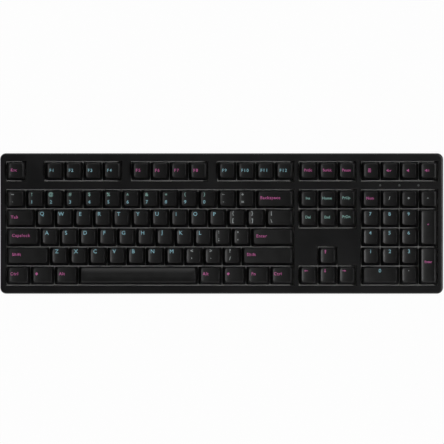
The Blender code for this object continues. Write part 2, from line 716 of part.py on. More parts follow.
def make_bottom_case():
    half_width, half_depth = CASE_WIDTH / 2, CASE_DEPTH / 2
    seam = deck_height(-PLATE_THICKNESS - SEAT_GAP)
    outer = slanted_prism(
        half_width,
        half_depth,
        CASE_CORNER_RADIUS,
        lambda y: CASE_BOTTOM,
        deck_height(DECK_HEIGHT),
        low_round=FLOOR_EDGE_ROUND,
    )
    bottom = place("bottom_case", mesh_of("bottom_case", outer), parts, case_plastic)
    inner = slanted_prism(
        half_width - CASE_WALL,
        half_depth - CASE_WALL,
        INNER_RADIUS,
        lambda y: FLOOR_TOP,
        deck_height(DECK_HEIGHT + CUT_EXTRA),
    )
    boolean(bottom, cutter("bottom_case_hollow", inner), "DIFFERENCE")
    boolean(bottom, cutter("plate_ribs", plate_ribs()), "UNION")
    for side, sign in (("left", -1), ("right", 1)):
        block = box(*pocket_box(POCKET_WALL, POCKET_ROOF, CASE_BOTTOM + FLOOR_THICKNESS / 2))
        boolean(bottom, cutter(side + "_pocket_block", block, None, (foot_x(sign), 0, 0)), "UNION")
    trim = slanted_prism(
        half_width + CUT_EXTRA,
        half_depth + CUT_EXTRA,
        CASE_CORNER_RADIUS,
        seam,
        deck_height(2 * DECK_HEIGHT),
    )
    boolean(bottom, cutter("seam_trim", trim), "DIFFERENCE")
    for side, sign in (("left", -1), ("right", 1)):
        pocket = box(*pocket_box(0.0, 0.0, CASE_BOTTOM - CUT_EXTRA))
        boolean(bottom, cutter(side + "_pocket", pocket, None, (foot_x(sign), 0, 0)), "DIFFERENCE")
        reach = FOOT_WIDTH / 2 + FOOT_PIN_REACH + FOOT_CLEARANCE
        bore = cylinder(FOOT_PIN_RADIUS + FOOT_PIN_CLEARANCE, -reach, reach)
        where = (foot_x(sign), HINGE_Y, HINGE_Z)
        boolean(bottom, cutter(side + "_hinge_bore", bore, None, where, (0, math.pi / 2, 0)), "DIFFERENCE")
    for name, x, y in pad_places():
        recess = pad_shape(SEAT_GAP, CASE_BOTTOM - CUT_EXTRA, PAD_THICKNESS + SEAT_GAP)
        boolean(bottom, cutter(name + "_recess", recess, None, (x, y, 0)), "DIFFERENCE")
    boolean(bottom, plug_opening(), "DIFFERENCE")


def plug_opening():
    """The hole in the back wall that lets a cable's plug reach the socket."""
    mouth, middle = socket_place()
    half_width, half_height = PLUG_OPENING_WIDTH / 2, PLUG_OPENING_HEIGHT / 2
    bm = box((-half_width, -half_height, 0), (half_width, half_height, SOCKET_SETBACK + CUT_EXTRA))
    round_edges(bm, edges_along(bm, 2), PLUG_OPENING_ROUND, PAD_CORNER_STEPS)
    y, z = deck_y(mouth, middle), deck_height(middle)(deck_y(mouth, middle))
    x = FIELD_SHIFT + SOCKET_SIDE_OFFSET
    return cutter("plug_opening", bm, None, (x, y, z), (-math.pi / 2, 0, 0))


# Pads, feet and wire
def make_pads():
    for name, x, y in pad_places():
        place(name, mesh_of(name, pad_shape(0.0, 0.0, PAD_THICKNESS)), parts, pad_rubber, None, (x, y, 0))


def make_feet():
    half_thick = FOOT_THICKNESS / 2
    for side, sign in (("left", -1), ("right", 1)):
        bm = box((-FOOT_WIDTH / 2, -FOOT_LENGTH, -half_thick), (FOOT_WIDTH / 2, half_thick, half_thick))
        round_edges(bm, edges_along(bm, 0, lambda m: m.y > 0), half_thick * 0.98, FOOT_HEEL_STEPS)
        round_edges(bm, edges_along(bm, 0, lambda m: m.y < -FOOT_LENGTH / 2), FOOT_TIP_ROUND, CASE_EDGE_STEPS)
        name = side + "_flip_foot"
        where = (foot_x(sign), HINGE_Y, HINGE_Z)
        foot = place(name, mesh_of(name, bm), parts, foot_plastic, None, where)
        reach = FOOT_WIDTH / 2 + FOOT_PIN_REACH
        pins = cylinder(FOOT_PIN_RADIUS, -reach, reach)
        boolean(foot, cutter(name + "_pins", pins, None, where, (0, math.pi / 2, 0)), "UNION")


def wire_points():
    """Half of the wire from its middle to an arm's end, with a round bend, then mirrored."""
    half, bend = WIRE_SPAN / 2, WIRE_BEND_RADIUS
    points = []
    for n in range(WIRE_BEND_STEPS + 1):
        angle = math.pi / 2 * n / WIRE_BEND_STEPS
        points.append((half - bend + bend * math.sin(angle), bend - bend * math.cos(angle), 0.0))
    points.append((half, WIRE_ARM, 0.0))
    left = [(-x, y, z) for x, y, z in reversed(points)]
    return left + points


def make_stabiliser_wire():
    curve = bpy.data.curves.new("spacebar_stabilizer_wire", "CURVE")
    curve.dimensions = "3D"
    curve.bevel_depth = WIRE_RADIUS
    curve.bevel_resolution = 2
    curve.use_fill_caps = True
    points = wire_points()
    spline = curve.splines.new("POLY")
    spline.points.add(len(points) - 1)
    for point, co in zip(spline.points, points):
        point.co = (*co, 1.0)
    x, y = key_centre(KEY_NODES["spacebar"][0])
    where = (x, y - WIRE_TO_SWITCH, WIRE_LIFT)
    place("spacebar_stabilizer_wire", curve, parts, wire_steel, deck, where, (WIRE_RISE, 0, 0))


clear_scene()
parts = new_collection("mechanical_keyboard")
helpers = new_collection("cutters")
case_plastic = plain_material("black_case_plastic", (0.009, 0.009, 0.0095), 0.45)
keycap_plastic = plain_material("black_keycap_plastic", (0.012, 0.012, 0.0125), 0.5)
plate_paint = plain_material("white_plate_paint", (0.62, 0.62, 0.62), 0.5)
board_laminate = plain_material("black_board_laminate", (0.015, 0.015, 0.016), 0.6)
socket_steel = plain_material("socket_steel", (0.55, 0.55, 0.56), 0.35, 1.0)
clear_plastic = plain_material("frosted_light_guide", (0.55, 0.55, 0.55), 0.4)
pad_rubber = plain_material("black_rubber", (0.012, 0.012, 0.012), 0.85)
foot_plastic = plain_material("black_foot_plastic", (0.010, 0.010, 0.0105), 0.5)
wire_steel = plain_material("wire_steel", (0.5, 0.5, 0.5), 0.3, 1.0)

deck = bpy.data.objects.new("key_deck", None)
parts.objects.link(deck)
deck.location = (FIELD_SHIFT, DECK_Y, DECK_Z)
deck.rotation_euler = (TILT, 0, 0)

make_keys()
make_switch_plate()
make_circuit_board()
make_cable_socket()
make_top_case()
make_light_guide()
make_bottom_case()
make_pads()
make_feet()
make_stabiliser_wire()
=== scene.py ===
import json
import math

import bmesh
import bpy
from mathutils import Matrix, Vector

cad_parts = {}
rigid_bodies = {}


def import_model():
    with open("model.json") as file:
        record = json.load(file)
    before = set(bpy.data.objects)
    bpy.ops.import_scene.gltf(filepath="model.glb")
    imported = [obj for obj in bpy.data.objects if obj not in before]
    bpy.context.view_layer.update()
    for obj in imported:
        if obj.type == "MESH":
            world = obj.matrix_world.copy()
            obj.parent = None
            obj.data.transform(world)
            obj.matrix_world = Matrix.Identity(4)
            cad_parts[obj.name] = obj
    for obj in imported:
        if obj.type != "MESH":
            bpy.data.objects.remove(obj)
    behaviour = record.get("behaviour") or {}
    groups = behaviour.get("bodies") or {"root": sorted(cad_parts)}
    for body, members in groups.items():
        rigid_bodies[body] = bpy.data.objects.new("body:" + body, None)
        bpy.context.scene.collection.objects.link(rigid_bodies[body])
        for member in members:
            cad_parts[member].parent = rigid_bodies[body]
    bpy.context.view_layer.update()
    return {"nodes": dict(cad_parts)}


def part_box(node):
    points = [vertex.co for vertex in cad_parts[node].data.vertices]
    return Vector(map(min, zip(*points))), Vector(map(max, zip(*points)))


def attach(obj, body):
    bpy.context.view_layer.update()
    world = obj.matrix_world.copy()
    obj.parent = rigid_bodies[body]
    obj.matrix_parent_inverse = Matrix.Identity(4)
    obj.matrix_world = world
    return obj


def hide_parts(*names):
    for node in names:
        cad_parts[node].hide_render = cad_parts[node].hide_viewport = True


for old in list(bpy.data.objects):  # the startup cube, lamp and camera
    bpy.data.objects.remove(old)
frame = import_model()
scene = bpy.context.scene
scene.view_settings.view_transform = "Standard"
print("frame loaded:", len(frame["nodes"]), "nodes")

# the key deck: a plane on the plate's top, tilted towards the user
deck = {
    "tiltDeg": 5.4,
    "height": 0.0195585,  # plate's top above the desk, at the middle
    "shift": 0.0007529,
    "side": 0.0005,  # the keys sit a little right of the case's middle
    "pitch": 0.01905,
    "unitsWide": 22.5,
    "unitsDeep": 6.47,
    "rowStarts": [0, 1.47, 2.47, 3.47, 4.47, 5.47],
}
tilt = math.radians(deck["tiltDeg"])
deckMatrix = Matrix.Translation((deck["side"], deck["shift"], deck["height"])) @ Matrix.Rotation(tilt, 4, "X")
fieldWidth = deck["unitsWide"] * deck["pitch"]
fieldDepth = deck["unitsDeep"] * deck["pitch"]


def keyCentre(row, left, width, deep=1):
    x = (left + width / 2) * deck["pitch"] - fieldWidth / 2
    y = fieldDepth / 2 - (deck["rowStarts"][row] + deep / 2) * deck["pitch"]
    return x, y


def deckHeight(offset):
    # world height of the plane that lies offset above the plate's top
    return lambda x, y: deck["height"] + (y - deck["shift"]) * math.tan(tilt) + offset / math.cos(tilt)


# materials
def linear(text):
    parts = [int(text[n : n + 2], 16) / 255 for n in (1, 3, 5)]
    return tuple(p / 12.92 if p <= 0.04045 else ((p + 0.055) / 1.055) ** 2.4 for p in parts) + (1.0,)


def addNode(tree, kind, settings=(), links=()):
    node = tree.nodes.new(kind)
    for name, value in dict(settings).items():
        if name in node.inputs.keys():
            node.inputs[name].default_value = value
        else:
            setattr(node, name, value)
    for name, socket in dict(links).items():
        tree.links.new(socket, node.inputs[name])
    return node


def newMaterial(name, colour, roughness, metallic=0.0, **sockets):
    made = bpy.data.materials.new(name)
    made.use_nodes = True
    shader = made.node_tree.nodes["Principled BSDF"]
    shader.inputs["Base Color"].default_value = linear(colour)
    shader.inputs["Roughness"].default_value = roughness
    shader.inputs["Metallic"].default_value = metallic
    for socket, value in sockets.items():
        shader.inputs[socket.replace("_", " ")].default_value = value
    return made, made.node_tree, shader


def mouldedFinish(name, colours, roughness, grainMm, depthMm, blotchMm, **sockets):
    # moulded plastic: the fine grain of the tool's spark-eroded steel, drawn some ten times coarser than
    # its real 0.05 mm so that it shows, and faint wide changes in shade and gloss
    made, tree, shader = newMaterial(name, colours[0], roughness[0], **sockets)
    place = addNode(tree, "ShaderNodeTexCoord").outputs["Object"]
    blotch = addNode(tree, "ShaderNodeTexNoise", {"Scale": 1000 / blotchMm, "Detail": 3.0}, {"Vector": place})
    shade = addNode(tree, "ShaderNodeValToRGB", (), {"Fac": blotch.outputs["Fac"]})
    for stop, colour in zip(shade.color_ramp.elements, colours):
        stop.color = linear(colour)
    shade.color_ramp.elements[0].position = 0.3
    shade.color_ramp.elements[1].position = 0.7
    tree.links.new(shade.outputs["Color"], shader.inputs["Base Color"])
    gloss = addNode(
        tree,
        "ShaderNodeMapRange",
        {"From Min": 0.3, "From Max": 0.7, "To Min": roughness[0], "To Max": roughness[1]},
        {"Value": blotch.outputs["Fac"]},
    )
    tree.links.new(gloss.outputs["Result"], shader.inputs["Roughness"])
    grain = addNode(tree, "ShaderNodeTexNoise", {"Scale": 1000 / grainMm, "Detail": 2.0}, {"Vector": place})
    relief = {"Strength": 0.35, "Distance": depthMm / 1000}
    bump = addNode(tree, "ShaderNodeBump", relief, {"Height": grain.outputs["Fac"]})
    tree.links.new(bump.outputs["Normal"], shader.inputs["Normal"])
    return made


# ABS keycaps, moulded with a satin face: nearly black, a soft sheen on every slope
keycapAbs = mouldedFinish(
    "moulded_abs_keycap", ("#1e1e1e", "#222222"), (0.30, 0.35), 0.5, 0.02, 9.0, IOR=1.53
)
# ABS case, spark-eroded: a duller black than the keys
caseAbs = mouldedFinish(
    "spark_eroded_abs_case", ("#111112", "#141415"), (0.30, 0.36), 0.6, 0.03, 25.0, IOR=1.53
)
# nylon and laminate under the keys: flat black
boardNylon = mouldedFinish(
    "moulded_nylon_switches", ("#141415", "#1a1a1b"), (0.5, 0.6), 0.7, 0.02, 12.0, IOR=1.53
)
# ABS feet from another tool, a little smoother than the case
footAbs = mouldedFinish(
    "moulded_abs_foot", ("#161616", "#1a1a1a"), (0.42, 0.5), 0.6, 0.02, 8.0, IOR=1.53
)
# silicone rubber pads: dull, no clear highlight
padRubber = mouldedFinish(
    "moulded_rubber_pad", ("#131313", "#191919"), (0.78, 0.88), 0.8, 0.04, 6.0, IOR=1.45
)
# powder coat on steel: white, with the slight orange peel of baked powder
plateCoat = mouldedFinish(
    "powder_coated_steel_plate", ("#e6e6e4", "#efefed"), (0.42, 0.52), 1.2, 0.05, 20.0, IOR=1.5
)
# polycarbonate light guide, frosted at the ends so that each dot glows evenly
lightPc = mouldedFinish(
    "frosted_polycarbonate_guide", ("#6f7272", "#7b7e7e"), (0.35, 0.45), 0.4, 0.02, 2.0, IOR=1.58
)


def drawnFinish(name, colours, roughness, lineMm):
    # bright steel: fine lines along the way it was drawn or rolled, coarser than real so that they show
    made, tree, shader = newMaterial(name, colours[0], roughness[0], 1.0)
    place = addNode(tree, "ShaderNodeTexCoord").outputs["Object"]
    stretch = addNode(tree, "ShaderNodeMapping", {"Scale": (0.05, 1.0, 1.0)}, {"Vector": place})
    fine = {"Scale": 1000 / lineMm, "Detail": 4.0}
    lines = addNode(tree, "ShaderNodeTexNoise", fine, {"Vector": stretch.outputs["Vector"]})
    shade = addNode(tree, "ShaderNodeValToRGB", (), {"Fac": lines.outputs["Fac"]})
    for stop, colour in zip(shade.color_ramp.elements, colours):
        stop.color = linear(colour)
    tree.links.new(shade.outputs["Color"], shader.inputs["Base Color"])
    span = {"To Min": roughness[0], "To Max": roughness[1]}
    gloss = addNode(tree, "ShaderNodeMapRange", span, {"Value": lines.outputs["Fac"]})
    tree.links.new(gloss.outputs["Result"], shader.inputs["Roughness"])
    return made


springSteel = drawnFinish("drawn_spring_steel_wire", ("#a8a8a6", "#c4c4c2"), (0.22, 0.36), 0.3)
socketSteel = drawnFinish("rolled_plated_steel_socket", ("#b4b5b6", "#cfd0d1"), (0.25, 0.38), 0.4)
contactGold = drawnFinish("plated_gold_contact", ("#c9a24a", "#dcb95f"), (0.25, 0.35), 0.2)
screwSteel = drawnFinish("turned_blackened_steel_screw", ("#2c2c2d", "#3a3a3b"), (0.35, 0.5), 0.3)


def inkFinish(name, colours):
    # dye that has gone into the plastic: matt, and a touch uneven where it soaked in
    made, tree, shader = newMaterial(name, colours[0], 0.5, IOR=1.53)
    place = addNode(tree, "ShaderNodeTexCoord").outputs["Object"]
    soakMm = 1.5
    soak = addNode(tree, "ShaderNodeTexNoise", {"Scale": 1000 / soakMm, "Detail": 2.0}, {"Vector": place})
    shade = addNode(tree, "ShaderNodeValToRGB", (), {"Fac": soak.outputs["Fac"]})
    for stop, colour in zip(shade.color_ramp.elements, colours):
        stop.color = linear(colour)
    shade.color_ramp.elements[0].position = 0.3
    shade.color_ramp.elements[1].position = 0.7
    tree.links.new(shade.outputs["Color"], shader.inputs["Base Color"])
    return made


inks = {
    "cyan": inkFinish("dye_cyan", ("#a4e2f2", "#b2ebf8")),
    "mint": inkFinish("dye_mint", ("#a0d6cd", "#aee0d7")),
    "pink": inkFinish("dye_pink", ("#e46cb6", "#ec7ac0")),
    "pale": inkFinish("dye_pale", ("#c9d3d3", "#d6dfdf")),
}
print("materials made:", len(bpy.data.materials))


# shapes that several pieces share
def roundedRing(halfX, low, high, radius, stepsX=1, stepsY=1, cornerSteps=6):
    # points round a rectangle with round corners, anticlockwise, the same count at any size
    radius = max(min(radius, halfX * 0.98, (high - low) / 2 * 0.98), 0.00002)
    centres = [(halfX - radius, high - radius), (radius - halfX, high - radius)]
    centres += [(radius - halfX, low + radius), (halfX - radius, low + radius)]
    arcs = []
    for n, centre in enumerate(centres):
        turns = [math.pi / 2 * (n + step / cornerSteps) for step in range(cornerSteps + 1)]
        arcs.append([Vector(centre) + radius * Vector((math.cos(turn), math.sin(turn))) for turn in turns])
    points = []
    for n, arc in enumerate(arcs):
        points += arc
        steps = stepsX if n % 2 == 0 else stepsY
        points += [arc[-1].lerp(arcs[(n + 1) % 4][0], step / steps) for step in range(1, steps)]
    return points


def addRing(bm, points, height):
    # height is a number, or a function of x and y
    return [bm.verts.new((x, y, height(x, y) if callable(height) else height)) for x, y in points]


def loft(bm, rings):
    # walls between the rings, and a face on the first and the last
    for lower, upper in zip(rings, rings[1:]):
        for n in range(len(lower)):
            m = (n + 1) % len(lower)
            bm.faces.new((lower[n], lower[m], upper[m], upper[n]))
    bm.faces.new(rings[-1])
    bm.faces.new(list(reversed(rings[0])))
    return bm


def stacked(halfX, halfY, radius, levels, bm=None, cornerSteps=6):
    # a block from rounded outlines, one for each (inset, height) level from the bottom up
    bm = bm or bmesh.new()
    rings = []
    for inset, height in levels:
        points = roundedRing(halfX - inset, inset - halfY, halfY - inset, radius - inset, 1, 1, cornerSteps)
        rings.append(addRing(bm, points, height))
    return loft(bm, rings)


def quarter(radius, steps=4):
    # (inset, drop) pairs of a rounded rim, from the wall to the top face
    turns = [math.pi / 2 * step / steps for step in range(steps + 1)]
    return [(radius * (1 - math.cos(turn)), radius * (1 - math.sin(turn))) for turn in turns]


def above(height, rise):
    return (lambda x, y: height(x, y) + rise) if callable(height) else height + rise


def roundedLevels(low, high, lowRound, highRound):
    # levels of a block with rounded rims
    lower = [(inset, above(low, drop)) for inset, drop in reversed(quarter(lowRound))]
    upper = [(inset, above(high, -drop)) for inset, drop in quarter(highRound)]
    return (lower if lowRound else [(0, low)]) + (upper if highRound else [(0, high)])


def flaredLevels(bottom, plane, rim, upward=True):
    # levels of a cutter that leaves a rounded rim where it comes out through the plane
    past = 0.00002 if upward else -0.00002
    sign = 1 if upward else -1
    rimLevels = [(-grow, plane + past - sign * drop) for grow, drop in quarter(rim)]
    runOn = 0.002  # how far the cutter goes on past the plane
    rimLevels.append((-rim, plane + sign * runOn))
    levels = [(0, bottom)] + rimLevels
    return levels if upward else levels[::-1]


def addObject(name, bm, *finishes, matrix=None):
    mesh = bpy.data.meshes.new(name)
    bmesh.ops.recalc_face_normals(bm, faces=bm.faces)
    bm.to_mesh(mesh)
    bm.free()
    for finish in finishes:
        mesh.materials.append(finish)
    obj = bpy.data.objects.new(name, mesh)
    scene.collection.objects.link(obj)
    if matrix:
        obj.matrix_world = matrix
    return obj


def carve(obj, bm, operation="DIFFERENCE", matrix=None):
    tool = addObject("tool", bm, matrix=matrix)
    step = obj.modifiers.new("carve", "BOOLEAN")
    step.operation = operation
    step.solver = "EXACT"
    step.use_self = True
    step.object = tool
    bpy.context.view_layer.update()
    mesh = bpy.data.meshes.new_from_object(obj.evaluated_get(bpy.context.evaluated_depsgraph_get()))
    obj.modifiers.remove(step)
    old, obj.data = obj.data, mesh
    bpy.data.meshes.remove(old)
    bpy.data.meshes.remove(tool.data)
    mesh.name = obj.name


def smoothed(obj, sharpDeg=38):
    # smooth shading that keeps flat faces flat
    obj.data.shade_smooth()
    obj.data.set_sharp_from_angle(angle=math.radians(sharpDeg))
    obj.modifiers.new("normals", "WEIGHTED_NORMAL").keep_sharp = True


def dress(obj, body, slot, *nodes):
    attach(obj, body)
    if nodes:
        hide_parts(*nodes)


# keycaps
cap = {
    "gap": 0.00095,
    "lift": 0.0062,
    "wall": 0.0013,
    "topThickness": 0.0016,
    "sideInset": 0.0024,
    "frontInset": 0.0036,
    "backInset": 0.0005,
    "dish": 0.0005,
    "crown": 0.0016,
    "baseRadius": 0.0009,
    "topRadius": 0.0020,
    "edgeRound": 0.0003,
    "dishSteps": [0.0007, 0.0014, 0.0022, 0.0030, 0.0039, 0.0048, 0.0056],
    "stemWidth": 0.0056,
    "stemDepth": 0.0046,
    "stemReach": 0.0036,
    "stemRound": 0.0004,
    "stemOverlap": 0.0004,  # how far the stem runs into the ceiling
    "ceilingRadius": 0.0008,
    "rimRadius": 0.0006,  # of the skirt's inside, at its lower rim
    "rimInset": 0.0001,
    "rimRise": 0.0002,
    "dishFlat": 0.0003,  # least half-width of the face inside the last ring
    "columnWidth": 0.003,
    "columnDepth": 0.004,
    "rows": [(0.0112, -3.0), (0.0112, -3.0), (0.0098, 1.0), (0.0092, 5.0), (0.0093, 7.0), (0.0094, 8.0)],
    "inkLift": 0.00005,
}


def capShape(row, width, deep, crowned):
    height, lean = cap["rows"][row]
    shape = {"height": height, "slope": math.tan(math.radians(lean)), "crowned": crowned}
    shape["halfX"] = (width * deck["pitch"] - cap["gap"]) / 2
    shape["halfY"] = (deep * deck["pitch"] - cap["gap"]) / 2
    shape["topX"] = shape["halfX"] - cap["sideInset"]
    shape["front"] = -shape["halfY"] + cap["frontInset"]
    shape["back"] = shape["halfY"] - cap["backInset"]
    shape["middle"] = (shape["front"] + shape["back"]) / 2
    shape["reach"] = (shape["back"] - shape["front"]) / 2
    return shape


def topZ(shape, x, y):
    z = shape["height"] - (y - shape["middle"]) * shape["slope"]
    if shape["crowned"]:
        return z + cap["crown"] * (1 - ((y - shape["middle"]) / shape["reach"]) ** 2)
    across = (x / shape["topX"]) ** 2
    return z - cap["dish"] * (1 - 0.5 * across - 0.5 * across**2)  # steeper towards the rims


def keycapMesh(shape):
    bm = bmesh.new()
    stepsX = max(4, round(shape["topX"] * 2 / cap["columnWidth"]))
    stepsY = max(4, round(shape["reach"] * 2 / cap["columnDepth"]))
    half, wall, rimInset = shape["halfY"], cap["wall"], cap["rimInset"]

    def ring(halfX, low, high, radius, height):
        return addRing(bm, roundedRing(halfX, low, high, radius, stepsX, stepsY), height)

    def topRing(inset, drop):
        low, high = shape["front"] + inset, shape["back"] - inset
        radius = cap["topRadius"] - inset
        return ring(shape["topX"] - inset, low, high, radius, lambda x, y: topZ(shape, x, y) - drop)

    # from the ceiling inside down to the rim, up the skirt, over the rounded edge and into the dish
    lowest = shape["height"] - shape["reach"] * abs(shape["slope"])
    ceiling = lowest - (0 if shape["crowned"] else cap["dish"]) - cap["topThickness"]
    rise = ceiling / shape["height"]
    front, back = cap["frontInset"] * rise - half + wall, half - cap["backInset"] * rise - wall
    rings = [
        ring(shape["halfX"] - cap["sideInset"] * rise - wall, front, back, cap["ceilingRadius"], ceiling),
        ring(shape["halfX"] - wall, wall - half, half - wall, cap["rimRadius"], 0.0),
        ring(shape["halfX"] - rimInset, rimInset - half, half - rimInset, cap["baseRadius"], 0.0),
        ring(shape["halfX"], -half, half, cap["baseRadius"], cap["rimRise"]),
    ]
    rings += [topRing(inset, drop) for inset, drop in quarter(cap["edgeRound"])]
    for step in cap["dishSteps"]:
        if cap["edgeRound"] + step < min(shape["topX"], shape["reach"]) - cap["dishFlat"]:
            rings.append(topRing(cap["edgeRound"] + step, 0.0))
    loft(bm, rings)
    if not shape["crowned"]:  # strips across the dish, so that the top curves evenly
        arc = 7  # points on each corner of roundedRing
        ringBack, ringFront = arc, 3 * arc - 2 + stepsX + stepsY
        for n in range(stepsX - 1):
            ends = [rings[-1][ringBack + n], rings[-1][ringFront + stepsX - 2 - n]]
            bmesh.ops.connect_vert_pair(bm, verts=ends)
    stem = roundedLevels(-cap["stemReach"], ceiling + cap["stemOverlap"], cap["stemRound"], 0.0)
    return stacked(cap["stemWidth"] / 2, cap["stemDepth"] / 2, cap["stemRound"], stem, bm, 2)


# legends: plain functional marks in Blender's own font
legend = {
    "letterSize": 0.0053,
    "digitSize": 0.0048,
    "wordSize": 0.0042,
    "smallWordSize": 0.0037,
    "weight": 0.00008,
    "sliceMm": 1.2,
    "sliverArea": 1e-11,
    "rowDown": [0.45, 0.45, 0.3, 0.1, -0.4, -0.2],  # mm towards the user, row by row
    "rowAcross": [0.35, 0.1, 0.1, 0.15, 0.45, 0.2],  # mm to the right, row by row
    "nudge": {  # mm to the right, for marks that stand apart from their style's place
        "backspace_key": 0.4,
        "caps_lock_key": 1.1,
        "enter_key": 1.2,
        "left_shift_key": 0.9,
        "Shift": 1.0,
        "system_keys": 0.2,
        "media_keys": -0.8,
        "navigation_keys": 0.3,
        "numpad_keys": 0.2,
        "Fn": 1.0,
        "Ctrl": -0.6,
        **dict.fromkeys("<>?,./", 1.4),
    },
}


def textMesh(text, size, spacing):
    curve = bpy.data.curves.new("legend", "FONT")
    curve.body = text
    curve.size = size
    curve.space_character = spacing
    curve.offset = legend["weight"]
    curve.resolution_u = 3
    holder = bpy.data.objects.new("legend", curve)
    scene.collection.objects.link(holder)
    bpy.context.view_layer.update()
    mesh = bpy.data.meshes.new_from_object(holder.evaluated_get(bpy.context.evaluated_depsgraph_get()))
    bpy.data.objects.remove(holder)
    bpy.data.curves.remove(curve)
    return mesh


def polygonMesh(outlines):
    bm = bmesh.new()
    for outline in outlines:
        bm.faces.new([bm.verts.new((x / 1000, y / 1000, 0)) for x, y in outline])
    mesh = bpy.data.meshes.new("mark")
    bm.to_mesh(mesh)
    bm.free()
    return mesh


def addMark(bm, shape, mesh, align, x, y, slot):
    # lays a flat mark on the keycap's top, cut into strips so that it follows the dish
    part = bmesh.new()
    part.from_mesh(mesh)
    # the fill leaves slivers with no area where points lie in line: each goes into its neighbour
    slivers = [face for face in part.faces if face.calc_area() < legend["sliverArea"]]
    longest = {max(face.edges, key=lambda edge: edge.calc_length()) for face in slivers}
    bmesh.ops.dissolve_edges(part, edges=list(longest), use_verts=False)
    bmesh.ops.dissolve_limit(part, angle_limit=0.01, verts=part.verts, edges=part.edges)
    xs = [v.co.x for v in part.verts]
    ys = [v.co.y for v in part.verts]
    shiftX = x - (min(xs) if align == "left" else (min(xs) + max(xs)) / 2)
    shiftY = y - (min(ys) + max(ys)) / 2
    bmesh.ops.translate(part, vec=(shiftX, shiftY, 0), verts=part.verts)
    step = legend["sliceMm"] / 1000
    cut = math.ceil(min(v.co.x for v in part.verts) / step)
    last = max(v.co.x for v in part.verts) / step
    while cut < last:
        geom = list(part.verts) + list(part.edges) + list(part.faces)
        bmesh.ops.bisect_plane(part, geom=geom, dist=1e-7, plane_co=(cut * step, 0, 0), plane_no=(1, 0, 0))
        cut += 1
    for face in part.faces:
        face.material_index = slot
    for vert in part.verts:
        vert.co.z = topZ(shape, vert.co.x, vert.co.y) + cap["inkLift"]
    # the ink is a thin closed film, its lower half in the plastic
    lower = list(part.verts)
    sheet = list(part.faces) + list(part.edges)
    bmesh.ops.extrude_face_region(part, geom=sheet, use_keep_orig=True)
    for vert in lower:
        vert.co.z -= 2 * cap["inkLift"]
    film = bpy.data.meshes.new("mark")
    part.to_mesh(film)
    part.free()
    bm.from_mesh(film)
    bpy.data.meshes.remove(film)


arrowUp = [[(-0.35, -1.9), (0.35, -1.9), (0.35, 0.5), (-0.35, 0.5)], [(-1.0, 0.4), (1.0, 0.4), (0, 1.9)]]
marks = {
    "up": arrowUp,
    "down": [[(-x, -y) for x, y in o] for o in arrowUp],
    "left": [[(-y, x) for x, y in o] for o in arrowUp],
    "right": [[(y, -x) for x, y in o] for o in arrowUp],
    "home": [[(0, 1.6), (-1.6, 0), (0, -1.6), (1.6, 0)]],
    "sums": [
        [(-1.4, 1.0), (1.4, 1.0), (1.4, 1.9), (-1.4, 1.9)],
        [(-1.4, -1.9), (-0.8, -1.9), (-0.8, 0.6), (-1.4, 0.6)],
        [(-0.3, -1.9), (0.3, -1.9), (0.3, 0.6), (-0.3, 0.6)],
        [(0.8, -1.9), (1.4, -1.9), (1.4, 0.6), (0.8, 0.6)],
    ],
    "mute": [
        [(-2.2, -0.6), (-1.4, -0.6), (0, -1.6), (0, 1.6), (-1.4, 0.6), (-2.2, 0.6)],
        [(0.7, -0.9), (1.0, -1.2), (2.4, 0.2), (2.1, 0.5)],
        [(0.7, 0.2), (2.1, -1.2), (2.4, -0.9), (1.0, 0.5)],
    ],
    "quieter": [[(-1.2, -0.6), (-0.4, -0.6), (1.0, -1.6), (1.0, 1.6), (-0.4, 0.6), (-1.2, 0.6)]],
    "louder": [
        [(-2.0, -0.6), (-1.2, -0.6), (0.2, -1.6), (0.2, 1.6), (-1.2, 0.6), (-2.0, 0.6)],
        [(0.8, -0.9), (1.2, -0.9), (1.2, 0.9), (0.8, 0.9)],
        [(1.7, -1.4), (2.1, -1.4), (2.1, 1.4), (1.7, 1.4)],
    ],
}

# each key: body it rides on, row, left edge, width, depth, and its marks as (text, style, ink)
keys = []


def addRun(body, row, left, labels, style, ink, width=1, deep=1):
    for label in labels:
        keys.append((body, row, left, width, deep, [(label, style, ink)] if label else []))
        left += width


def addPairs(body, row, left, pairs, inkTop, inkLow, widths=None):
    for n, (upper, lower) in enumerate(pairs):
        width = widths[n] if widths else 1
        keys.append((body, row, left, width, 1, [(upper, "upper", inkTop), (lower, "lower", inkLow)]))
        left += width


addRun("escape_key", 0, 0, ["Esc"], "word", "pink")
addRun("f1_to_f4_keys", 0, 2, ["F1", "F2", "F3", "F4"], "function", "cyan")
addRun("f5_to_f8_keys", 0, 6.5, ["F5", "F6", "F7", "F8"], "function", "pink")
addRun("f9_to_f12_keys", 0, 11, ["F9", "F10", "F11", "F12"], "function", "cyan")
addRun("system_keys", 0, 15.25, ["PrtSc", "ScrLk", "Pause"], "small", "pink")
addRun("media_keys", 0, 18.5, ["sums", "mute", "quieter", "louder"], "icon", "pink")
addPairs("number_keys", 1, 0, [("~", "`")], "pale", "pale")
addPairs("number_keys", 1, 1, list(zip("!@#$%^&*()", "1234567890")), "mint", "cyan")
addPairs("number_keys", 1, 11, [("_", "-"), ("+", "=")], "pale", "pale")
addRun("backspace_key", 1, 13, ["Backspace"], "word", "pink", 2)
addRun("navigation_keys", 1, 15.25, ["Ins", "Home", "PgUp"], "small", "mint")
addRun("numpad_keys", 1, 18.5, ["Num"], "small", "pink")
addRun("numpad_keys", 1, 19.5, ["/", "*", "-"], "middle", "pale")
addRun("tab_key", 2, 0, ["Tab"], "word", "pink", 1.5)
for place, letter in enumerate("QWERTYUIOP"):
    addRun("key_" + letter.lower(), 2, 1.5 + place, [letter], "letter", "cyan")
addPairs("bracket_keys", 2, 11.5, [("{", "["), ("}", "]"), ("|", "\\")], "pale", "pale", [1, 1, 1.5])
addRun("navigation_keys", 2, 15.25, ["Del", "End", "PgDn"], "small", "mint")
